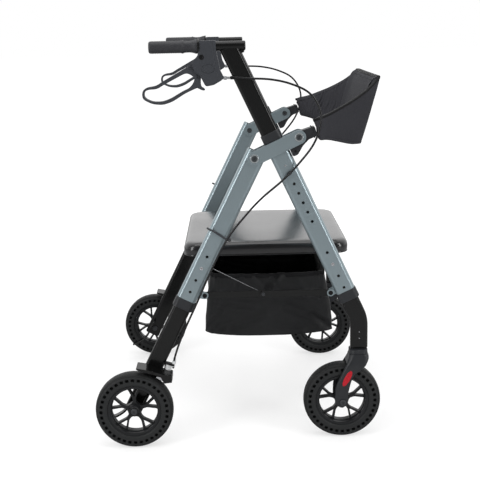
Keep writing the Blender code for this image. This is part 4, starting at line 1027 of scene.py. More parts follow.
# Brakes: a black bar across each rear foot, over the tyre. Its steel shoe is pulled on to the
# tread by the cable and pushed back by a spring.
BRACKET = ((0.0085, 0.2046), (0.0320, 0.2002), (0.0760, 0.1865), (0.0950, 0.1812),
           (0.0945, 0.1660), (0.0745, 0.1640), (0.0690, 0.1785), (0.0622, 0.1838),
           (0.0400, 0.1900), (0.0285, 0.1938), (0.0100, 0.2000))
BRACKET_FOOT = ((0.0560, 0.1880), (0.0700, 0.1835), (0.0860, 0.1785), (0.0850, 0.1600),
                (0.0620, 0.1600), (0.0520, 0.1700))
WHEEL_Y = 0.335
TYRE_RADIUS = 0.095


def from_axle(outline, radius=0.0):
    moved = [(REAR_X + x, z) for x, z in outline]
    return eased(moved, radius) if radius else moved


def brake_clamp():
    shape = plate(from_axle(BRACKET, 0.002), LEG_Y + 0.0060, 0.3500)
    foot = plate(from_axle(BRACKET_FOOT, 0.002), LEG_Y, LEG_Y + 0.0135)
    leg_way = placed(skin(ovals(((-0.022, LEG_WALL), (0.298, LEG_WALL)))), REAR_LEG)
    tyre_way = rod(TYRE_RADIUS + 0.0045, 0.3125, 0.40, 72, (REAR_X, 0.0, AXLE_Z))
    pocket = plate(from_axle(((0.0480, 0.1940), (0.0620, 0.1850), (0.0900, 0.1770),
                              (0.0930, 0.1500), (0.0480, 0.1500))), 0.3180, 0.3460)
    return shape, [leg_way, tyre_way, pocket], [foot]


SHOE = ((0.0815, 0.1752), (0.0660, 0.1790), (0.0585, 0.1815), (0.0560, 0.1780),
        (0.0630, 0.1730), (0.0700, 0.1695), (0.0770, 0.1668), (0.0815, 0.1650),
        (0.0852, 0.1665), (0.0865, 0.1700), (0.0852, 0.1738))
pair("brake_bracket", brake_clamp, black_tube, "rear_foot_{}", ["brake_bracket_{}"], edge=0.0013)
pair("brake_shoe", lambda: plate(from_axle(SHOE, 0.0015), 0.3185, 0.3455), steel,
     "brake_shoe_{}", ["brake_shoe_{}"], edge=0.0006, steps=2)


def cable_stop():
    """A tab over the bar with the cable's ferrule in it."""
    tab = plate(from_axle(((0.0765, 0.2052), (0.0995, 0.1975), (0.0985, 0.1930),
                           (0.0755, 0.2005)), 0.0012), 0.3015, 0.3125)
    post = plate(from_axle(((0.0755, 0.2050), (0.0800, 0.2035), (0.0780, 0.1840),
                            (0.0735, 0.1855)), 0.0012), 0.3015, 0.3050)
    return tab, [], [post]


pair("cable_stop", cable_stop, black_tube, "rear_foot_{}", edge=0.0008, steps=2)
heads("bracket_screw", screw_head(0.0042, 0.0014, black_screw), 0.0480, 0.1920, 0.3497,
      "rear_foot_{}")


def ferrule():
    lean = (Matrix.Translation((REAR_X + 0.0968, 0.3066, 0.1950))
            @ Matrix.Rotation(math.radians(12), 4, "Y"))
    return placed(turned([(0.0028, -0.004), (0.0036, -0.003), (0.0036, 0.004), (0.0046, 0.0045),
                          (0.0046, 0.0100), (0.0036, 0.0110), (0.0036, 0.0165), (0.0028, 0.0180)],
                         24, axis="Z"), lean)


COIL_STEPS = 14
SPRING_Y = 0.3070


def coil(top, bottom, radius, wire, turns):
    """A spring between two points (x, z), wound from a wire of the given radius."""
    path = []
    top, bottom = (Vector((REAR_X + x, SPRING_Y, z)) for x, z in (top, bottom))
    down = (bottom - top).normalized()
    one = down.cross(Vector((0.0, 1.0, 0.0))).normalized()
    two = down.cross(one)
    count = turns * COIL_STEPS
    for i in range(count + 1):
        angle = 2 * math.pi * i / COIL_STEPS
        path.append(top.lerp(bottom, i / count) + (one * math.cos(angle) + two * math.sin(angle))
                    * radius)
    return hose(path, wire, 8)


pale_spring = finish_of("pale_spring", (0.82, 0.83, 0.84), 0.34, metallic=0.4, fineness=800.0,
                        bump=0.00002)
for name, draw in (
    ("cable_ferrule", ferrule),
    ("return_spring", lambda: coil((0.0862, 0.1975), (0.0830, 0.1850), 0.0068, 0.0010, 5)),
    ("shoe_spring", lambda: coil((0.0905, 0.1605), (0.0880, 0.1545), 0.0032, 0.0007, 4)),
):
    pair(name, draw, pale_spring, "rear_foot_{}", slot="steel")


# Wheels: nylon rims with five forked spokes, and solid rubber tyres that have a ring of
# moulded pockets in each side wall and a fine block tread. They turn on steel axle bolts.
rim_nylon = finish_of(
    "rim_nylon", (0.0125, 0.0132, 0.0145), 0.36, 0.30, spread=0.25, fineness=1100.0,
    unevenness=0.14, bump=0.00006, marks=(0.08, 0.08, 0.085), amount=0.10,
)
tyre_rubber = finish_of(
    "tyre_rubber", (0.0205, 0.0216, 0.0222), 0.52, 0.26, spread=0.45, fineness=1400.0,
    unevenness=0.20, marks=(0.10, 0.10, 0.10), amount=0.25, stretch=(1.0, 1.0, 1.0),
)
tree = tyre_rubber.node_tree
shader = tree.nodes["Principled BSDF"]
tread_blocks = wired(tree, "TexBrick", {
    "Vector": place_of(tree, "UV"), "Scale": 1.0, "Mortar Size": 0.14, "Mortar Smooth": 0.4,
    "Brick Width": 1.0, "Row Height": 0.7, "Color1": WHITE, "Color2": (0.9, 0.9, 0.9, 1.0),
    "Mortar": (0.0, 0.0, 0.0, 1.0),
}).outputs["Color"]
rubber_colour = shader.inputs["Base Color"].links[0].from_socket
# Painted shade: the rubber's colour is darkened in the grooves between the tread blocks, on top of
# the bump.
groove_painted_shade = sums(tree, "MULTIPLY_ADD", tread_blocks, 0.75, 0.25)
feed(tree, shader, {"Base Color": scaled(tree, rubber_colour, groove_painted_shade),
                    "Normal": bumped(tree, tread_blocks, 0.0007)})
TREAD_BLOCKS = 130
TREAD_ROW = 3.2  # in millimetres
TREAD_START = 0.0880
POCKETS = 36
POCKET_RING = 0.0803
OPENING = 0.0560
SPOKES = 5


def ring_outline(points, turn, radius):
    """Corners given as (distance, angle in degrees), turned and rounded off."""
    corners = []
    for distance, angle in points:
        a = math.radians(angle + turn)
        corners.append((distance * math.cos(a), distance * math.sin(a)))
    return eased(corners, radius)


def both_halves(half, middle=()):
    """A turned profile from one half of it, with what lies between the halves."""
    return [*half, *middle, *((radius, -along) for radius, along in reversed(half))]


def merged(shapes):
    """Shapes that lie apart, as one."""
    whole = bmesh.new()
    for shape in shapes:
        part = bpy.data.meshes.new("part")
        shape.to_mesh(part)
        shape.free()
        whole.from_mesh(part)
        bpy.data.meshes.remove(part)
    return whole


def tyre_pockets():
    for cos, sin in circle(POCKETS):
        for face in (1, -1):
            rings = []
            for y, size in ((0.0230, 1.04), (0.0105, 0.92)):
                rings.append([((POCKET_RING + a * size) * cos - b * size * sin, face * y,
                               (POCKET_RING + a * size) * sin + b * size * cos)
                              for a, b in rounded_box(0.0076, 0.0086, 0.0022, 3)])
            yield skin(rings)


def tyre_mesh():
    profile = both_halves([
        (0.0648, 0.0165), (0.0656, 0.0182), (0.0680, 0.0195), (0.0706, 0.0200),
        (0.0745, 0.0198), (0.0765, 0.0200), (0.0845, 0.0200), (0.0862, 0.0198),
        (0.0885, 0.0188), (0.0910, 0.0170), (0.0930, 0.0143), (0.0943, 0.0103),
        (0.0949, 0.0053)], [(TYRE_RADIUS, 0.0)])
    mesh = worked("tyre", turned(profile, 144, around=True), [merged(tyre_pockets())], limit=40.0)
    tread = mesh.uv_layers.new(name="tread")
    for face in mesh.polygons:
        centre = face.center
        on_tread = math.hypot(centre.x, centre.z) > TREAD_START
        base = math.atan2(centre.z, centre.x)
        for corner in face.loop_indices:
            spot = mesh.vertices[mesh.loops[corner].vertex_index].co
            angle = math.atan2(spot.z, spot.x)
            if abs(angle - base) > math.pi:
                angle -= math.copysign(2 * math.pi, angle - base)
            blocks = (angle / (2 * math.pi) * TREAD_BLOCKS, spot.y * 1000 / TREAD_ROW)
            tread.data[corner].uv = blocks if on_tread else (0.25, 0.35)
    return mesh


def spoke_openings():
    """The broad opening between two spokes, and the small one in each spoke's fork."""
    for i in range(SPOKES):
        turn = 360 / SPOKES * i
        broad = ring_outline(((0.0170, 0), (0.0200, 25.0), (0.0312, 28.4), (OPENING, 20.0),
                              (OPENING, 7.0), (OPENING, -7.0), (OPENING, -20.0),
                              (0.0312, -28.4), (0.0200, -25.0)), turn - 90, 0.0035)
        small = ring_outline(((0.0325, 0), (OPENING, -11.0), (OPENING, 11.0)), turn - 54, 0.0020)
        for outline in (broad, small):
            yield plate(outline, -0.02, 0.02)


def rim_mesh():
    web = turned(both_halves([(0.0060, -0.0062), (OPENING + 0.0018, -0.0062)]), 96, around=True)
    mesh = worked("rim", web, [merged(spoke_openings())], edge=0.0013)
    band = turned(both_halves([
        (0.0572, -0.0060), (0.0572, -0.0150), (0.0578, -0.0164), (0.0590, -0.0172),
        (0.0620, -0.0173), (0.0644, -0.0168)]), 144, around=True)
    hub = turned(both_halves([
        (0.0052, -0.0178), (0.0112, -0.0180), (0.0122, -0.0172), (0.0140, -0.0150),
        (0.0155, -0.0080), (0.0165, -0.0040)]), 48, around=True)
    whole = bmesh.new()
    whole.from_mesh(mesh)
    for part in (band, hub):
        whole.from_mesh(worked("rim_part", part))
    whole.to_mesh(mesh)
    whole.free()
    mesh.shade_smooth()
    mesh.set_sharp_from_angle(angle=math.radians(38))
    return mesh


tyre_shape = tyre_mesh()
rim_shape = rim_mesh()
CASTER_X = 0.510
for side, sign in SIDES:
    for end, x, y, roll in (("rear", 0.0, WHEEL_Y, -27.0), ("front", CASTER_X, LEG_Y, 15.0)):
        rolled = roll if side == "left" else 0.0
        place = Matrix.Translation((REAR_X + x, sign * y, AXLE_Z))
        body = f"{end}_wheel_{side}"
        fitted(f"{end}_tyre_piece_{side}", tyre_shape, tyre_rubber, body, [f"{end}_tyre_{side}"],
               "tyre_rubber", place)
        fitted(f"{end}_rim_piece_{side}", rim_shape, rim_nylon, body, [f"{end}_rim_{side}"],
               "black_plastic", place @ Matrix.Rotation(math.radians(rolled), 4, "Y"))


def axle_bolt(x, low, high, socket_low, socket_high):
    """A bolt between two heads, with a hexagon socket in the outer one."""
    profile = [(0.0070, low - 0.0036), (0.0079, low - 0.0026), (0.0079, low), (0.0048, low),
               (0.0048, high), (0.0079, high), (0.0079, high + 0.0026), (0.0070, high + 0.0036)]
    hub = Matrix.Translation((REAR_X + x, LEG_Y, AXLE_Z))
    return placed(turned(profile, 36), hub), [
        placed(hexagon(0.0038, socket_low, socket_high), hub)], []


pair("rear_axle_bolt", lambda: axle_bolt(0.0, -0.0101, WHEEL_Y - LEG_Y + 0.0183, 0.0560, 0.0620),
     dark_wire, "rear_foot_{}", ["rear_axle_{}"], "steel", edge=0.0004, steps=2)
pair("front_axle_bolt", lambda: axle_bolt(CASTER_X, -0.0313, 0.0313, 0.0330, 0.0400), dark_wire,
     "caster_{}", ["front_axle_{}"], "steel", edge=0.0004, steps=2)


# Caster forks: one-piece nylon forks, broad at the bearing and drawn down into two flat arms
# beside the wheel, with a red oval reflector let into the outer arm.
FORK_REAR = ((0.0180, 0.1312), (0.0168, 0.1190), (0.0140, 0.1072), (0.0018, 0.0818),
             (-0.0115, 0.0537), (-0.0172, 0.0380), (-0.0189, 0.0250), (-0.0189, -0.0020),
             (-0.0155, -0.0090), (-0.0080, -0.0128), (-0.0030, -0.0135))
FORK_FRONT = ((0.0620, 0.1312), (0.0647, 0.1161), (0.0636, 0.1058), (0.0528, 0.0881),
              (0.0310, 0.0707), (0.0225, 0.0560), (0.0178, 0.0400), (0.0142, 0.0240),
              (0.0130, 0.0090), (0.0122, -0.0020), (0.0085, -0.0100), (0.0010, -0.0135))


def reading(edge, z):
    """The x of an edge line at a height z, straight between its points."""
    points = sorted((p[1], p[0]) for p in edge)
    for (z0, x0), (z1, x1) in zip(points, points[1:]):
        if z <= z1:
            t = max(0.0, min(1.0, (z - z0) / (z1 - z0)))
            return x0 + (x1 - x0) * t
    return points[-1][1]


FORK_HALF = 0.031
FORK_NECK = 0.0085
SHOULDER = 0.088
SHOULDER_RISE = 0.043


def fork_shape():
    """Rounded boxes between the two edge lines, from the arms' feet up to the bearing."""
    rear_edge, front_edge = (
        [(p.x, p.z) for p in smooth_path([(x, 0.0, z) for x, z in edge], 5)]
        for edge in (FORK_REAR, FORK_FRONT))
    rings = []
    levels = [-0.0134, -0.0128, -0.0115, -0.0095, -0.0070]
    levels += [-0.004 + 0.0045 * i for i in range(28)]
    levels += [0.1196, 0.1202, 0.1210, 0.1218, 0.1226, 0.1298, 0.1310]
    for z in levels:
        at = z if z < 0.1195 else 0.1290
        a, b = reading(rear_edge, at), reading(front_edge, at)
        share = max(0.0, min(1.0, (z - SHOULDER) / SHOULDER_RISE))
        half = FORK_HALF - FORK_NECK * (share * share * (3 - 2 * share))
        depth = max(b - a, 0.003)
        if z > 0.1305 or 0.1200 < z < 0.1212:
            depth -= 0.0026
            half -= 0.0013
        corner = min(0.0062 + 0.010 * share, depth / 2 - 0.0004)
        rings.append([(REAR_X + CASTER_X + (a + b) / 2 + x, LEG_Y + y, AXLE_Z + z)
                      for x, y in rounded_box(depth, 2 * half, corner, 7)])
    wheel_way = rod(0.0985, LEG_Y - 0.025, LEG_Y + 0.025, 96, (REAR_X + CASTER_X, 0.0, AXLE_Z))
    return skin(rings), [wheel_way], []


pair("caster_fork", fork_shape, black_plastic, "caster_{}", ["caster_fork_{}"], edge=0.0008,
     steps=2, limit=40.0)

reflector_red, tree, shader = new_material("reflector_red", {"Specular IOR Level": 0.4,
                                                             "Roughness": 0.22})
cells = wired(tree, "TexVoronoi", {"Vector": place_of(tree), "Scale": 420.0,
                                   "Randomness": 0.15}).outputs["Distance"]
tint = wired(tree, "Mix", {"Factor": cells, "A": (0.50, 0.006, 0.018, 1.0),
                           "B": (0.36, 0.004, 0.012, 1.0)}, data_type="RGBA")
feed(tree, shader, {"Base Color": tint.outputs["Result"], "Normal": bumped(tree, cells, 0.0004)})


def reflector():
    """A flat oval between two points of the fork's outer arm."""
    low, high = Vector((0.5105, 0.1376)), Vector((0.5310, 0.1766))
    middle = (low + high) / 2
    up_way = (high - low).normalized() * 0.0215
    side_way = Vector((up_way.y, -up_way.x)).normalized() * 0.0072
    rings = []
    for size, y in ((1.0, 0.0306), (1.0, 0.0312), (0.95, 0.0316), (0.80, 0.0318)):
        spots = [middle + (up_way * s + side_way * c) * size for c, s in circle(40)]
        rings.append([(REAR_X + p.x, LEG_Y + y, p.y) for p in spots])
    return skin(rings)


pair("reflector", reflector, reflector_red, "caster_{}", slot="black_plastic")


# Tipping levers: bent flat steel bars behind the rear hubs, on the inner face of the foot,
# for the user's shoe to press down when the frame meets a kerb.
TIP_PATH = ((0.002, 0.122), (-0.012, 0.100), (-0.020, 0.082), (-0.034, 0.066), (-0.052, 0.055),
            (-0.068, 0.049))
TIP_Y = LEG_Y - 0.0201


def tip_bar():
    path = smooth_path([(x, 0.0, z) for x, z in TIP_PATH], 5)
    rings = []
    for i, point in enumerate(path):
        way = heading(path, i)
        across = Vector((-way.z, 0.0, way.x))
        spots = [(point + across * a, b) for a, b in rounded_box(0.0048, 0.0196, 0.0018, 3)]
        rings.append([(REAR_X + p.x, TIP_Y + b, p.z) for p, b in spots])
    return skin(rings)


pair("tip_lever", tip_bar, black_tube, "rear_foot_{}", ["tip_lever_{}"], edge=0.0012)


# Fold links: flat black bars from each leg's ear to a middle pivot; a thin cord runs from
# that pivot up to the rear leg and lifts it when the frame is folded.
LINK_CENTRE = 0.320
CORD_RADIUS = 0.0006
CORD = ((0.3130, 0.2960, 0.3735), (0.2560, 0.2958, 0.4040), (0.1960, 0.2950, 0.4360))


def link_bar(lug, plane):
    start, end = (Vector((x, LINK_Z)) for x in sorted((lug[0], LINK_CENTRE)))
    return plate(stadium(start, end, 0.008), *plane), [bore_at(*lug, 0.0043, 0.02)], []


for end, lug, plane in (("front", FRONT_LUG, OUTER_PLANE), ("rear", REAR_LUG, INNER_PLANE)):
    pair(f"{end}_fold_link", lambda: link_bar(lug, plane), black_tube, end + "_link_{}",
         [end + "_fold_link_{}"], edge=0.0007, steps=2)
heads("link_middle_rivet", button_head(0.0040, 0.0016, dark_wire), LINK_CENTRE, LINK_Z,
      OUTER_PLANE[1], "front_link_{}")
for side, sign in SIDES:
    path = on_side(sign, smooth_path(CORD, 8))
    cord_piece = fitted(f"lifting_cord_{side}", worked("cord", hose(path, CORD_RADIUS, 8)),
                        steel, None, slot="steel")
    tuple(path[0])
    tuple(path[-1])
    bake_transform(cord_piece)


# Seat rails: round black tubes between the two sides, bolted to the legs. The seat hinges on
# the front one and rests on the rear one.
RAIL_Z = 0.430
REAR_RAIL_X = (RAIL_Z - AXLE_Z) * math.tan(REAR_LEAN)
FRONT_RAIL_X = FRONT_ORIGIN.x - (FRONT_ORIGIN.y - RAIL_Z) * math.tan(FRONT_LEAN)
for label, x, body in (("rear", REAR_RAIL_X, "rear_frame"), ("front", FRONT_RAIL_X, "frame")):
    end = LEG_Y - LEG_WIDTH / 2 - 0.0003
    tube = turned(both_halves([(0.0090, -end), (0.0106, -end), (0.0110, -end + 0.0006)]), 40,
                  (REAR_X + x, 0.0, RAIL_Z), around=True)
    fitted(f"{label}_seat_rail", worked("rail", tube), black_tube, body, [f"seat_rail_{label}"])


# Seat: a foam pad on a board in smooth black vinyl, with a welted seam round its lower edge,
# two plastic saddles that turn on the front rail and two rubber rests for the rear one.
SEAT_REAR = REAR_RAIL_X - 0.0428
SEAT_FRONT = FRONT_RAIL_X + 0.0453
SEAT_HALF = 0.215
SEAT_BOTTOM = 0.4435
SEAT_THICK = 0.0345
SUPPORT_Y = 0.120
SEAT_LEVELS = (
    (0.0060, 0.0), (0.0026, 0.02), (0.0012, 0.08), (0.0005, 0.20), (0.0002, 0.34),
    (0.0002, 0.48), (0.0008, 0.62), (0.0022, 0.74), (0.0045, 0.84), (0.0080, 0.915),
    (0.0125, 0.960), (0.0190, 0.982), (0.0300, 0.992), (0.050, 0.997), (0.080, 1.0),
    (0.110, 1.0), (0.140, 1.0), (0.170, 1.0), (0.195, 1.0),
)


def resampled(outline, count):
    """The same closed outline in equal steps."""
    points = [Vector(p) for p in outline]
    lengths = [(points[(i + 1) % len(points)] - p).length for i, p in enumerate(points)]
    total = sum(lengths)
    out = []
    i, passed = 0, 0.0
    for k in range(count):
        goal = total * k / count
        while passed + lengths[i] < goal:
            passed += lengths[i]
            i += 1
        t = (goal - passed) / lengths[i]
        out.append(tuple(points[i].lerp(points[(i + 1) % len(points)], t)))
    return out


def seat_outline(inset, corner, steps):
    return rounded_box(SEAT_FRONT - SEAT_REAR - 2 * inset, 2 * (SEAT_HALF - inset), corner, steps)


def on_seat(x, y, z):
    return Vector((REAR_X + (SEAT_REAR + SEAT_FRONT) / 2 + x, y, z))


def smooth_mesh(name, bm, sharp=None):
    """A finished mesh with smooth shading, but for edges over an angle in degrees."""
    mesh = bpy.data.meshes.new(name)
    bm.to_mesh(mesh)
    bm.free()
    mesh.shade_smooth()
    if sharp:
        mesh.set_sharp_from_angle(angle=math.radians(sharp))
    return mesh


def seat_cover():
    """The cover from its lower edge over the rounded rim to the flat, slightly worn top."""
    rings = []
    for inset, height in SEAT_LEVELS:
        ring = []
        for x, y in resampled(seat_outline(inset, max(0.034 - inset * 0.3, 0.008), 14), 220):
            sink = 0.0012 * (0.5 + noise.noise(Vector((x * 7.0, y * 7.0, height)))) * height
            ring.append(on_seat(x, y, SEAT_BOTTOM + SEAT_THICK * height - sink))
        rings.append(ring)
    return smooth_mesh("seat_pad_cover", skin(rings))


seat_vinyl = finish_of(
    "seat_vinyl", (0.0044, 0.0046, 0.0056), 0.24, spread=0.3, fineness=620.0, bump=0.00003,
    marks=(0.05, 0.05, 0.055), amount=0.08, stretch=(1.0, 1.0, 1.0), coat=(0.60, 0.20),
)
seat = fitted("seat_pad_cover", seat_cover(), seat_vinyl, "seat", ["seat_pad"])


def seat_edge(inset, z):
    return [on_seat(x, y, z) for x, y in seat_outline(inset, 0.032, 10)]


def round_path(path, section):
    """A closed strip along a closed path, its section given as (outward, up)."""
    rings = []
    for i, point in enumerate(path):
        ahead = (path[(i + 1) % len(path)] - path[i - 1]).normalized()
        outward = ahead.cross(Vector((0.0, 0.0, 1.0))).normalized()
        rings.append([point + outward * a + Vector((0.0, 0.0, b)) for a, b in section])
    return skin(rings, around=True)


welt = round_path(seat_edge(0.0018, SEAT_BOTTOM + 0.0026),
                  [(0.0016 * c, 0.0016 * s) for c, s in circle(8)])
fitted("seat_welt", worked("seat_welt", welt), seat_vinyl, "seat")
board = bpy.data.meshes.new("seat_board")
skin([seat_edge(0.0080, SEAT_BOTTOM - 0.0004),
      seat_edge(0.0070, SEAT_BOTTOM + 0.0030)]).to_mesh(board)
fitted("seat_board", board, black_plastic, "seat")


def tapered_block(x, y, width, corner, steps, levels):
    """A block on a rail, given its depth and its height at each level."""
    return skin([[(REAR_X + x + a, y + b, z) for a, b in rounded_box(depth, width, corner, steps)]
                 for depth, z in levels])


for side, sign in SIDES:
    saddle = turned(both_halves([(0.0116, -0.018), (0.0140, -0.018), (0.0146, -0.017)]), 32,
                    (REAR_X + FRONT_RAIL_X, sign * SUPPORT_Y, RAIL_Z), around=True)
    root = tapered_block(FRONT_RAIL_X, sign * SUPPORT_Y, 0.036, 0.002, 2,
                         ((0.016, RAIL_Z + 0.0120), (0.034, SEAT_BOTTOM)))
    fitted(f"seat_saddle_{side}", worked("saddle", saddle, [], [root], edge=0.0006, steps=2),
           black_plastic, "seat")
    rest = tapered_block(REAR_RAIL_X, sign * SUPPORT_Y, 0.040, 0.004, 4,
                         ((0.018, SEAT_BOTTOM - 0.0020), (0.022, SEAT_BOTTOM - 0.0003)))
    fitted(f"seat_rest_{side}", worked("seat_rest", rest, edge=0.0005, steps=2), grip_rubber,
           "seat")


# Bag: a box of black woven nylon with a bound rim, hung by webbing loops from the two seat
# rails. Its walls belly out and crease, and its floor sags between the corners.
def weave_group():
    """Crossed threads, as a colour with painted shade between them, a relief and a gloss."""
    tree, given, made = node_group(
        "weave",
        [("Colour", COLOUR, (0.05, 0.05, 0.05, 1.0)), ("Threads", FLOAT, 1.0),
         ("Contrast", FLOAT, 0.3), ("Roughness", FLOAT, 0.8)],
        [("Colour", COLOUR), ("Roughness", FLOAT), ("Height", FLOAT)],
    )
    spot = wired(tree, "SeparateXYZ", {0: place_of(tree)}).outputs
    waves = [sums(tree, "SINE", sums(tree, "MULTIPLY", spot[axis], given["Threads"]))
             for axis in "XYZ"]
    total = sums(tree, "ADD", sums(tree, "ADD", waves[0], waves[1]), waves[2])
    height = sums(tree, "MULTIPLY_ADD", total, 0.166, 0.5)
    # Painted shade and highlight: the gaps between threads are darkened and the thread tops
    # lightened by the relief's height.
    lift = sums(tree, "MULTIPLY", sums(tree, "SUBTRACT", height, 0.5), given["Contrast"])
    feed(tree, made, {"Colour": scaled(tree, given["Colour"], sums(tree, "ADD", lift, 1.0)),
                      "Roughness": sums(tree, "MULTIPLY_ADD", height, 0.12, given["Roughness"]),
                      "Height": height})
    return tree


WEAVE = weave_group()


def cloth_of(name, colour, roughness, threads, contrast, relief_depth, sheen, specular):
    cloth, tree, shader = new_material(name, {
        "Specular IOR Level": specular, "Sheen Weight": sheen, "Sheen Roughness": 0.4,
    })
    grain = wired(tree, "Group", {"Colour": (*colour, 1.0), "Spread": 0.35, "Fineness": 260.0},
                  node_tree=SPECKLE)
    woven = wired(tree, "Group", {
        "Colour": grain.outputs["Colour"], "Threads": threads, "Contrast": contrast,
        "Roughness": roughness,
    }, node_tree=WEAVE).outputs
    feed(tree, shader, {"Base Color": woven["Colour"], "Roughness": woven["Roughness"],
                        "Normal": bumped(tree, woven["Height"], relief_depth)})
    return cloth


bag_cloth = cloth_of("bag_cloth", (0.0092, 0.0098, 0.0108), 0.46, 5200.0, 0.5, 0.00018, 0.10, 0.34)
webbing = cloth_of("webbing", (0.010, 0.010, 0.011), 0.7, 3600.0, 0.9, 0.0003, 0.1, 0.15)
BAG_REAR = REAR_RAIL_X + 0.0172
BAG_FRONT = FRONT_RAIL_X - 0.0067
BAG_HALF = 0.205
BAG_DEPTH = 0.300
BAG_FLOOR = 0.240
BAG_RIM = 0.396
BAG_THICK = 0.0024
BAG_ROWS = 60
FLOOR_ROWS = 12
LOOP_Y = 0.155
LOOP_RADIUS = 0.0122
WEBBING_HALF = 0.0125
# Each fold of a side wall: its two ends (x, z), its width and its depth, outward if negative.
BAG_FOLDS = (
    (0.184, 0.3340, 0.478, 0.3275, 0.0040, 0.0034), (0.184, 0.3400, 0.476, 0.3375, 0.0060, -0.0030),
    (0.188, 0.3470, 0.466, 0.3465, 0.0036, 0.0030),
    (0.176, 0.244, 0.214, 0.300, 0.0065, 0.0084), (0.182, 0.240, 0.240, 0.262, 0.0075, 0.0049),
    (0.196, 0.236, 0.206, 0.330, 0.0070, -0.0041), (0.330, 0.346, 0.372, 0.398, 0.0080, -0.0076),
    (0.352, 0.330, 0.300, 0.398, 0.0085, -0.0049), (0.345, 0.395, 0.356, 0.350, 0.0060, 0.0046),
    (0.199, 0.322, 0.197, 0.396, 0.0050, 0.0068), (0.466, 0.322, 0.468, 0.396, 0.0050, 0.0070),
    (0.452, 0.340, 0.455, 0.396, 0.0045, -0.0046), (0.212, 0.340, 0.210, 0.396, 0.0045, -0.0041),
    (0.240, 0.252, 0.330, 0.285, 0.0120, -0.0054), (0.380, 0.300, 0.470, 0.262, 0.0120, 0.0057),
    (0.488, 0.246, 0.450, 0.285, 0.0070, 0.0070), (0.225, 0.318, 0.300, 0.305, 0.0130, 0.0046),
    (0.330, 0.262, 0.420, 0.243, 0.0100, -0.0041), (0.250, 0.350, 0.268, 0.398, 0.0090, 0.0038),
    (0.400, 0.398, 0.432, 0.330, 0.0100, -0.0043),
)


def fold_depth(x, z):
    """How far the side wall is drawn in at a place by all its folds."""
    total = 0.0
    for x0, z0, x1, z1, width, depth in BAG_FOLDS:
        run = Vector((x1 - x0, z1 - z0))
        t = Vector((x - x0, z - z0)).dot(run) / run.length_squared
        inside = max(0.0, min(1.0, t))
        off = math.hypot(x - x0 - run.x * inside, z - z0 - run.y * inside)
        total += depth * math.exp(-(off / width) ** 2)
    return total


def bag_point(share, outline):
    """A point of the bag's wall; share runs from 0 at the floor to 1 at the rim."""
    u, v = outline
    ease = share * share * (3 - 2 * share)
    rear = BAG_REAR - 0.0095 + 0.0140 * ease
    front = BAG_FRONT + 0.0085 - 0.0165 * ease
    x = (rear + front) / 2 + u * (front - rear) / 2
    low = BAG_FLOOR + 0.0025 - 0.0120 * (1 - abs(u) ** 3) - 0.0040 * (1 - abs(v) ** 3)
    high = BAG_RIM - 0.0045 * (1 - u * u)
    z = low + (high - low) * share
    y = v * (BAG_HALF - 0.002)
    on_side = abs(v) ** 8
    on_end = abs(u) ** 8
    y -= math.copysign(on_side * (fold_depth(x, z) - 0.003 * math.sin(math.pi * share)), v)
    spot = Vector((x * 9.0, y * 9.0, share * 1.6))
    crease = noise.noise(spot) * 0.0050 * math.sin(math.pi * share)
    crease += noise.noise(spot * 3.1 + Vector((3.0, 1.0, 5.0))) * 0.0018 * (1 - share * 0.7)
    x += math.copysign(on_end * (crease + 0.004 * math.sin(math.pi * share)), u)
    y += math.copysign(on_side * crease * 0.6, v)
    corner = on_side * on_end * (1 - share) ** 6
    x += math.copysign(0.0050 * corner, u)
    y += math.copysign(0.0040 * corner, v)
    return REAR_X + x, y, z


def bag_outline():
    """The bag seen from above, each side running from -1 to 1."""
    points = resampled(rounded_box(BAG_DEPTH, 2 * BAG_HALF, 0.012, 6), 320)
    return [(x / (BAG_DEPTH / 2), y / BAG_HALF) for x, y in points]


def bag_shell():
    """Floor and walls as one sheet of cloth, then given its thickness."""
    outline = bag_outline()
    middle = REAR_X + (BAG_REAR + BAG_FRONT) / 2
    rings = []
    for k in range(FLOOR_ROWS - 1, 0, -1):
        t = 1 - k / FLOOR_ROWS
        ring = []
        for u, v in outline:
            edge = bag_point(0.0, (u, v))
            x, y = middle * (1 - t) + edge[0] * t, edge[1] * t
            ripple = 0.0012 * noise.noise(Vector((x, y, 0.0)) * 24.0)
            ring.append((x, y, bag_point(0.0, (u * t, v * t))[2] + ripple))
        rings.append(ring)
    rings += [[bag_point(i / BAG_ROWS, p) for p in outline] for i in range(BAG_ROWS + 1)]
    item = as_object("bag_sheet", skin(rings, open_end=True))
    thick = item.modifiers.new("thick", "SOLIDIFY")
    thick.thickness = BAG_THICK
    thick.offset = -1.0
    mesh = baked("bag_shell", item)
    mesh.shade_smooth()
    return mesh


RIM_TAPE = ((0.0008, -0.010), (0.0012, -0.001), (0.0004, 0.0008), (-0.0026, 0.0008),
            (-0.0034, -0.001), (-0.0032, -0.010))
rim_path = [Vector(bag_point(1.0, p)) for p in bag_outline()]
bag_piece = fitted("bag_shell", bag_shell(), bag_cloth, "frame", ["bag"])
binding_piece = fitted("bag_binding", smooth_mesh("bag_binding", round_path(rim_path, RIM_TAPE)),
                       webbing, "frame", slot="bag_cloth")
for piece in (bag_piece, binding_piece):
    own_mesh(piece)


def strap_loop(x_rail, x_rim, y, inward):
    """Webbing from the bag's rim up and round a rail."""
    path = [Vector((x_rim, 0.0, BAG_RIM - 0.026)), Vector((x_rim, 0.0, BAG_RIM - 0.004))]
    for i in range(13):
        a = math.pi * (0.0 if inward > 0 else 1.0) + inward * (-0.35 + i / 12 * (math.pi + 1.1))
        path.append(Vector((x_rail + LOOP_RADIUS * math.cos(a), 0.0,
                            RAIL_Z + LOOP_RADIUS * math.sin(a))))
    path.append(Vector((x_rim - inward * 0.003, 0.0, BAG_RIM - 0.002)))
    rings = []
    for i, p in enumerate(path):
        ahead = heading(path, i)
        across = Vector((-ahead.z, 0.0, ahead.x)) * 0.0007
        rings.append([Vector((REAR_X + q.x, y + side_way * WEBBING_HALF, q.z)) for q, side_way in
                      ((p + across, -1), (p + across, 1), (p - across, 1), (p - across, -1))])
    return worked("loop", skin(rings))


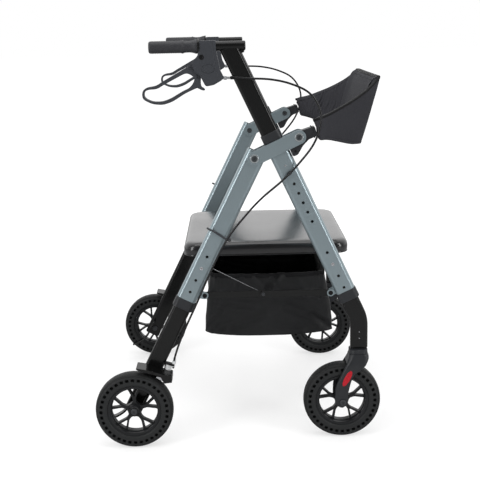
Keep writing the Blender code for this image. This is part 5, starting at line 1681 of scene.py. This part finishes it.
for side, sign in SIDES:
    y = sign * LOOP_Y
    fitted(f"bag_front_loop_{side}", strap_loop(FRONT_RAIL_X, BAG_FRONT - 0.0060, y, 1), webbing,
           "frame", slot="bag_cloth")
    rear = fitted(f"bag_rear_loop_{side}", strap_loop(REAR_RAIL_X, BAG_REAR + 0.0030, y, -1),
                  webbing, None, slot="bag_cloth")
    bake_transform(rear)


# Backrest: a broad padded strap of soft black cloth, bent into a U, whose two ends slip over
# nylon arms that fold down on the upper pivots.
ARM = ((0.4161, 0.7630), (0.4456, 0.7720), (0.4525, 0.7498), (0.4322, 0.7418), (0.4182, 0.7270),
       (0.4064, 0.7063), (0.3950, 0.7025), (0.3880, 0.7184), (0.3960, 0.7370), (0.3952, 0.7480),
       (0.4000, 0.7580), (0.4080, 0.7622))
ARM_HALF = 0.0125


def hinge_arm():
    """The arm, with a low rim where the strap's end stops."""
    shape = leg_plate(from_axle(ARM, 0.004), ARM_HALF)
    rim = leg_plate(from_axle(((0.4361, 0.7713), (0.4390, 0.7722), (0.4473, 0.7458),
                               (0.4444, 0.7449))), ARM_HALF + 0.0008)
    return shape, [bore_at(*BACK_PIVOT, 0.0053)], [rim]


pair("backrest_arm", hinge_arm, black_plastic, "backrest", ["backrest_arm_{}"], edge=0.0014)
heads("arm_screw", screw_head(0.0030, 0.0012, black_screw), 0.4010, 0.7150, LEG_Y + 0.0124,
      "backrest")

# Each section: its top outer edge (y, x), its low and high z, its thickness and its lean.
STRAP = (
    (0.3095, 0.4413, 0.7410, 0.7880, 0.021, -0.311), (0.3095, 0.4560, 0.7385, 0.7915, 0.021, -0.12),
    (0.2915, 0.4800, 0.7368, 0.7975, 0.020, 0.10), (0.2715, 0.5100, 0.7328, 0.8095, 0.020, 0.25),
    (0.2482, 0.5450, 0.7250, 0.8255, 0.020, 0.29), (0.2249, 0.5800, 0.7170, 0.8460, 0.020, 0.29),
    (0.2079, 0.6054, 0.7150, 0.8665, 0.020, 0.29), (0.1986, 0.6139, 0.7145, 0.8745, 0.020, 0.29),
    (0.1863, 0.6170, 0.7142, 0.8770, 0.020, 0.29), (0.1100, 0.6170, 0.7140, 0.8770, 0.020, 0.29),
    (0.0000, 0.6170, 0.7140, 0.8770, 0.020, 0.29),
)


def strap_rows(steps):
    """The strap's sections from the right end to the left one."""
    full = [(-row[0], *row[1:]) for row in STRAP] + list(STRAP[-2::-1])
    plan = smooth_path([Vector((row[0], row[1], row[5])) for row in full], steps)
    sizes = smooth_path([Vector(row[2:5]) for row in full], steps)
    return [(p.x, p.y, s.x, s.y, s.z, p.z) for p, s in zip(plan, sizes)]


def strap_place(rows, i, height, inward):
    """A point of the strap: height from -1 at its hem to 1, inward from the outer face."""
    y, x, low, high, _, lean = rows[i]
    ahead = rows[min(i + 1, len(rows) - 1)]
    behind = rows[max(i - 1, 0)]
    way = Vector((ahead[1] - behind[1], ahead[0] - behind[0])).normalized()
    across = Vector((way.y, -way.x))
    half = (high - low) / 2
    back = lean * half * (height - 1)
    return Vector((REAR_X + x - across.x * inward + back, y - across.y * inward,
                   (low + high) / 2 + half * height))


def pleat(run, height):
    """Upright pleats in the inner face, which is gathered beside the corners."""
    gathered = max(0.0, min(1.0, (run - 0.20) / 0.03)) * max(0.0, min(1.0, (0.405 - run) / 0.03))
    bend = noise.noise(Vector((run * 14.0, height * 1.4, 2.0)))
    ridge = math.sin(run * 520.0 + bend * 6.0) + 0.8 * math.sin(run * 310.0 - height + bend * 9.0)
    strength = 0.65 + noise.noise(Vector((run * 31.0, height * 0.9, 7.0)))
    return 0.0016 * gathered * ridge * max(0.1, strength) * (1.0 - 0.45 * abs(height + 0.1))


def corner_fill(y):
    """Extra padding that rounds the inside of the bend."""
    return 0.0085 * math.exp(-((abs(y) - 0.192) / 0.030) ** 2)


def crown_at(t):
    """How full the padding is at a height from -1 to 1."""
    return (1 - t ** 4) ** 0.5 if abs(t) < 1 else 0.0


def padding(row, t):
    """How far the padding swells out of the inner face at a height from -1 to 1."""
    return (row[4] - 0.0105 + corner_fill(row[0])) * crown_at(t)


def below_edge(row, distance):
    """The height from -1 to 1 that lies a distance below the strap's upper edge."""
    return 1 - distance / ((row[3] - row[2]) / 2)


HEM = 0.988
RING_STEPS = 28
RAGGED_ROWS = 11


def strap_cover():
    """The outer face up and the inner face down, with ragged ends over the arms."""
    rows = strap_rows(22)
    middle = len(rows) // 2
    runs = [0.0]
    for one, two in zip(rows[middle:], rows[middle + 1:]):
        runs.append(runs[-1] + math.hypot(two[0] - one[0], two[1] - one[1]))
    heights = [-1 + 2 * k / RING_STEPS for k in range(RING_STEPS + 1)]
    rings = []
    for i, row in enumerate(rows):
        y = row[0]
        ring = []
        for t in heights:
            swell = 0.0006 * noise.noise(Vector((y * 11.0, t * 1.5, 0.0)))
            ring.append(strap_place(rows, i, t * HEM, 0.0035 - 0.0033 * crown_at(t) + swell))
        for t in reversed(heights):
            inner = 0.0085 + padding(row, t) - pleat(runs[abs(i - middle)], t)
            ring.append(strap_place(rows, i, t * HEM, inner))
        ragged = max(0.0, 1 - min(i, len(rows) - 1 - i) / RAGGED_ROWS) ** 2
        for k, point in enumerate(ring):
            t = abs(k / (RING_STEPS + 0.5) - 1)
            point.x += 0.0042 * ragged * (0.5 + noise.noise(Vector((t * 5.0, y * 3.0, 4.0))))
        rings.append(ring)
    return smooth_mesh("backrest_strap", skin(rings), 62)


strap_cloth = cloth_of("strap_cloth", (0.0395, 0.0397, 0.0450), 0.80, 3900.0, 0.5, 0.00016, 0.05,
                       0.04)
strap = fitted("backrest_strap", strap_cover(), strap_cloth, "backrest", ["backrest_pad"])
EDGE_ROWS = strap_rows(14)


def strap_binding(edge):
    """A folded tape sewn over the strap's upper (1) or lower (-1) edge."""
    rings = []
    for i, row in enumerate(EDGE_ROWS):
        tape = below_edge(row, 0.0055)
        section = ((tape, 0.0006), (0.995, 0.0018), (1.0, 0.0036), (1.0, 0.0086),
                   (0.995, 0.0102), (tape, 0.0125))
        rings.append([strap_place(EDGE_ROWS, i, edge * height, inward)
                      for height, inward in section])
    return skin(rings)


def strap_stitching():
    """The hem's line of stitches on the inner face."""
    path = []
    for i, row in enumerate(EDGE_ROWS):
        t = below_edge(row, 0.0110)
        path.append(strap_place(EDGE_ROWS, i, t * HEM, 0.0086 + padding(row, t)))
    return worked("stitching", hose(path, 0.0005, 6))


# The upper tape is in the dark webbing and the lower one in the strap's cloth, so a dark band runs
# along the strap's top edge.
for name, mesh, cloth in (
    ("strap_upper_binding", smooth_mesh("upper_tape", strap_binding(1)), webbing),
    ("strap_lower_binding", smooth_mesh("lower_tape", strap_binding(-1)), strap_cloth),
    ("strap_stitching", strap_stitching(), webbing),
):
    fitted(name, mesh, cloth, "backrest", slot="strap_cloth")

low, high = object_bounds()
{"cad": [list(cad_low), list(cad_high)], "visual": [list(low), list(high)]}
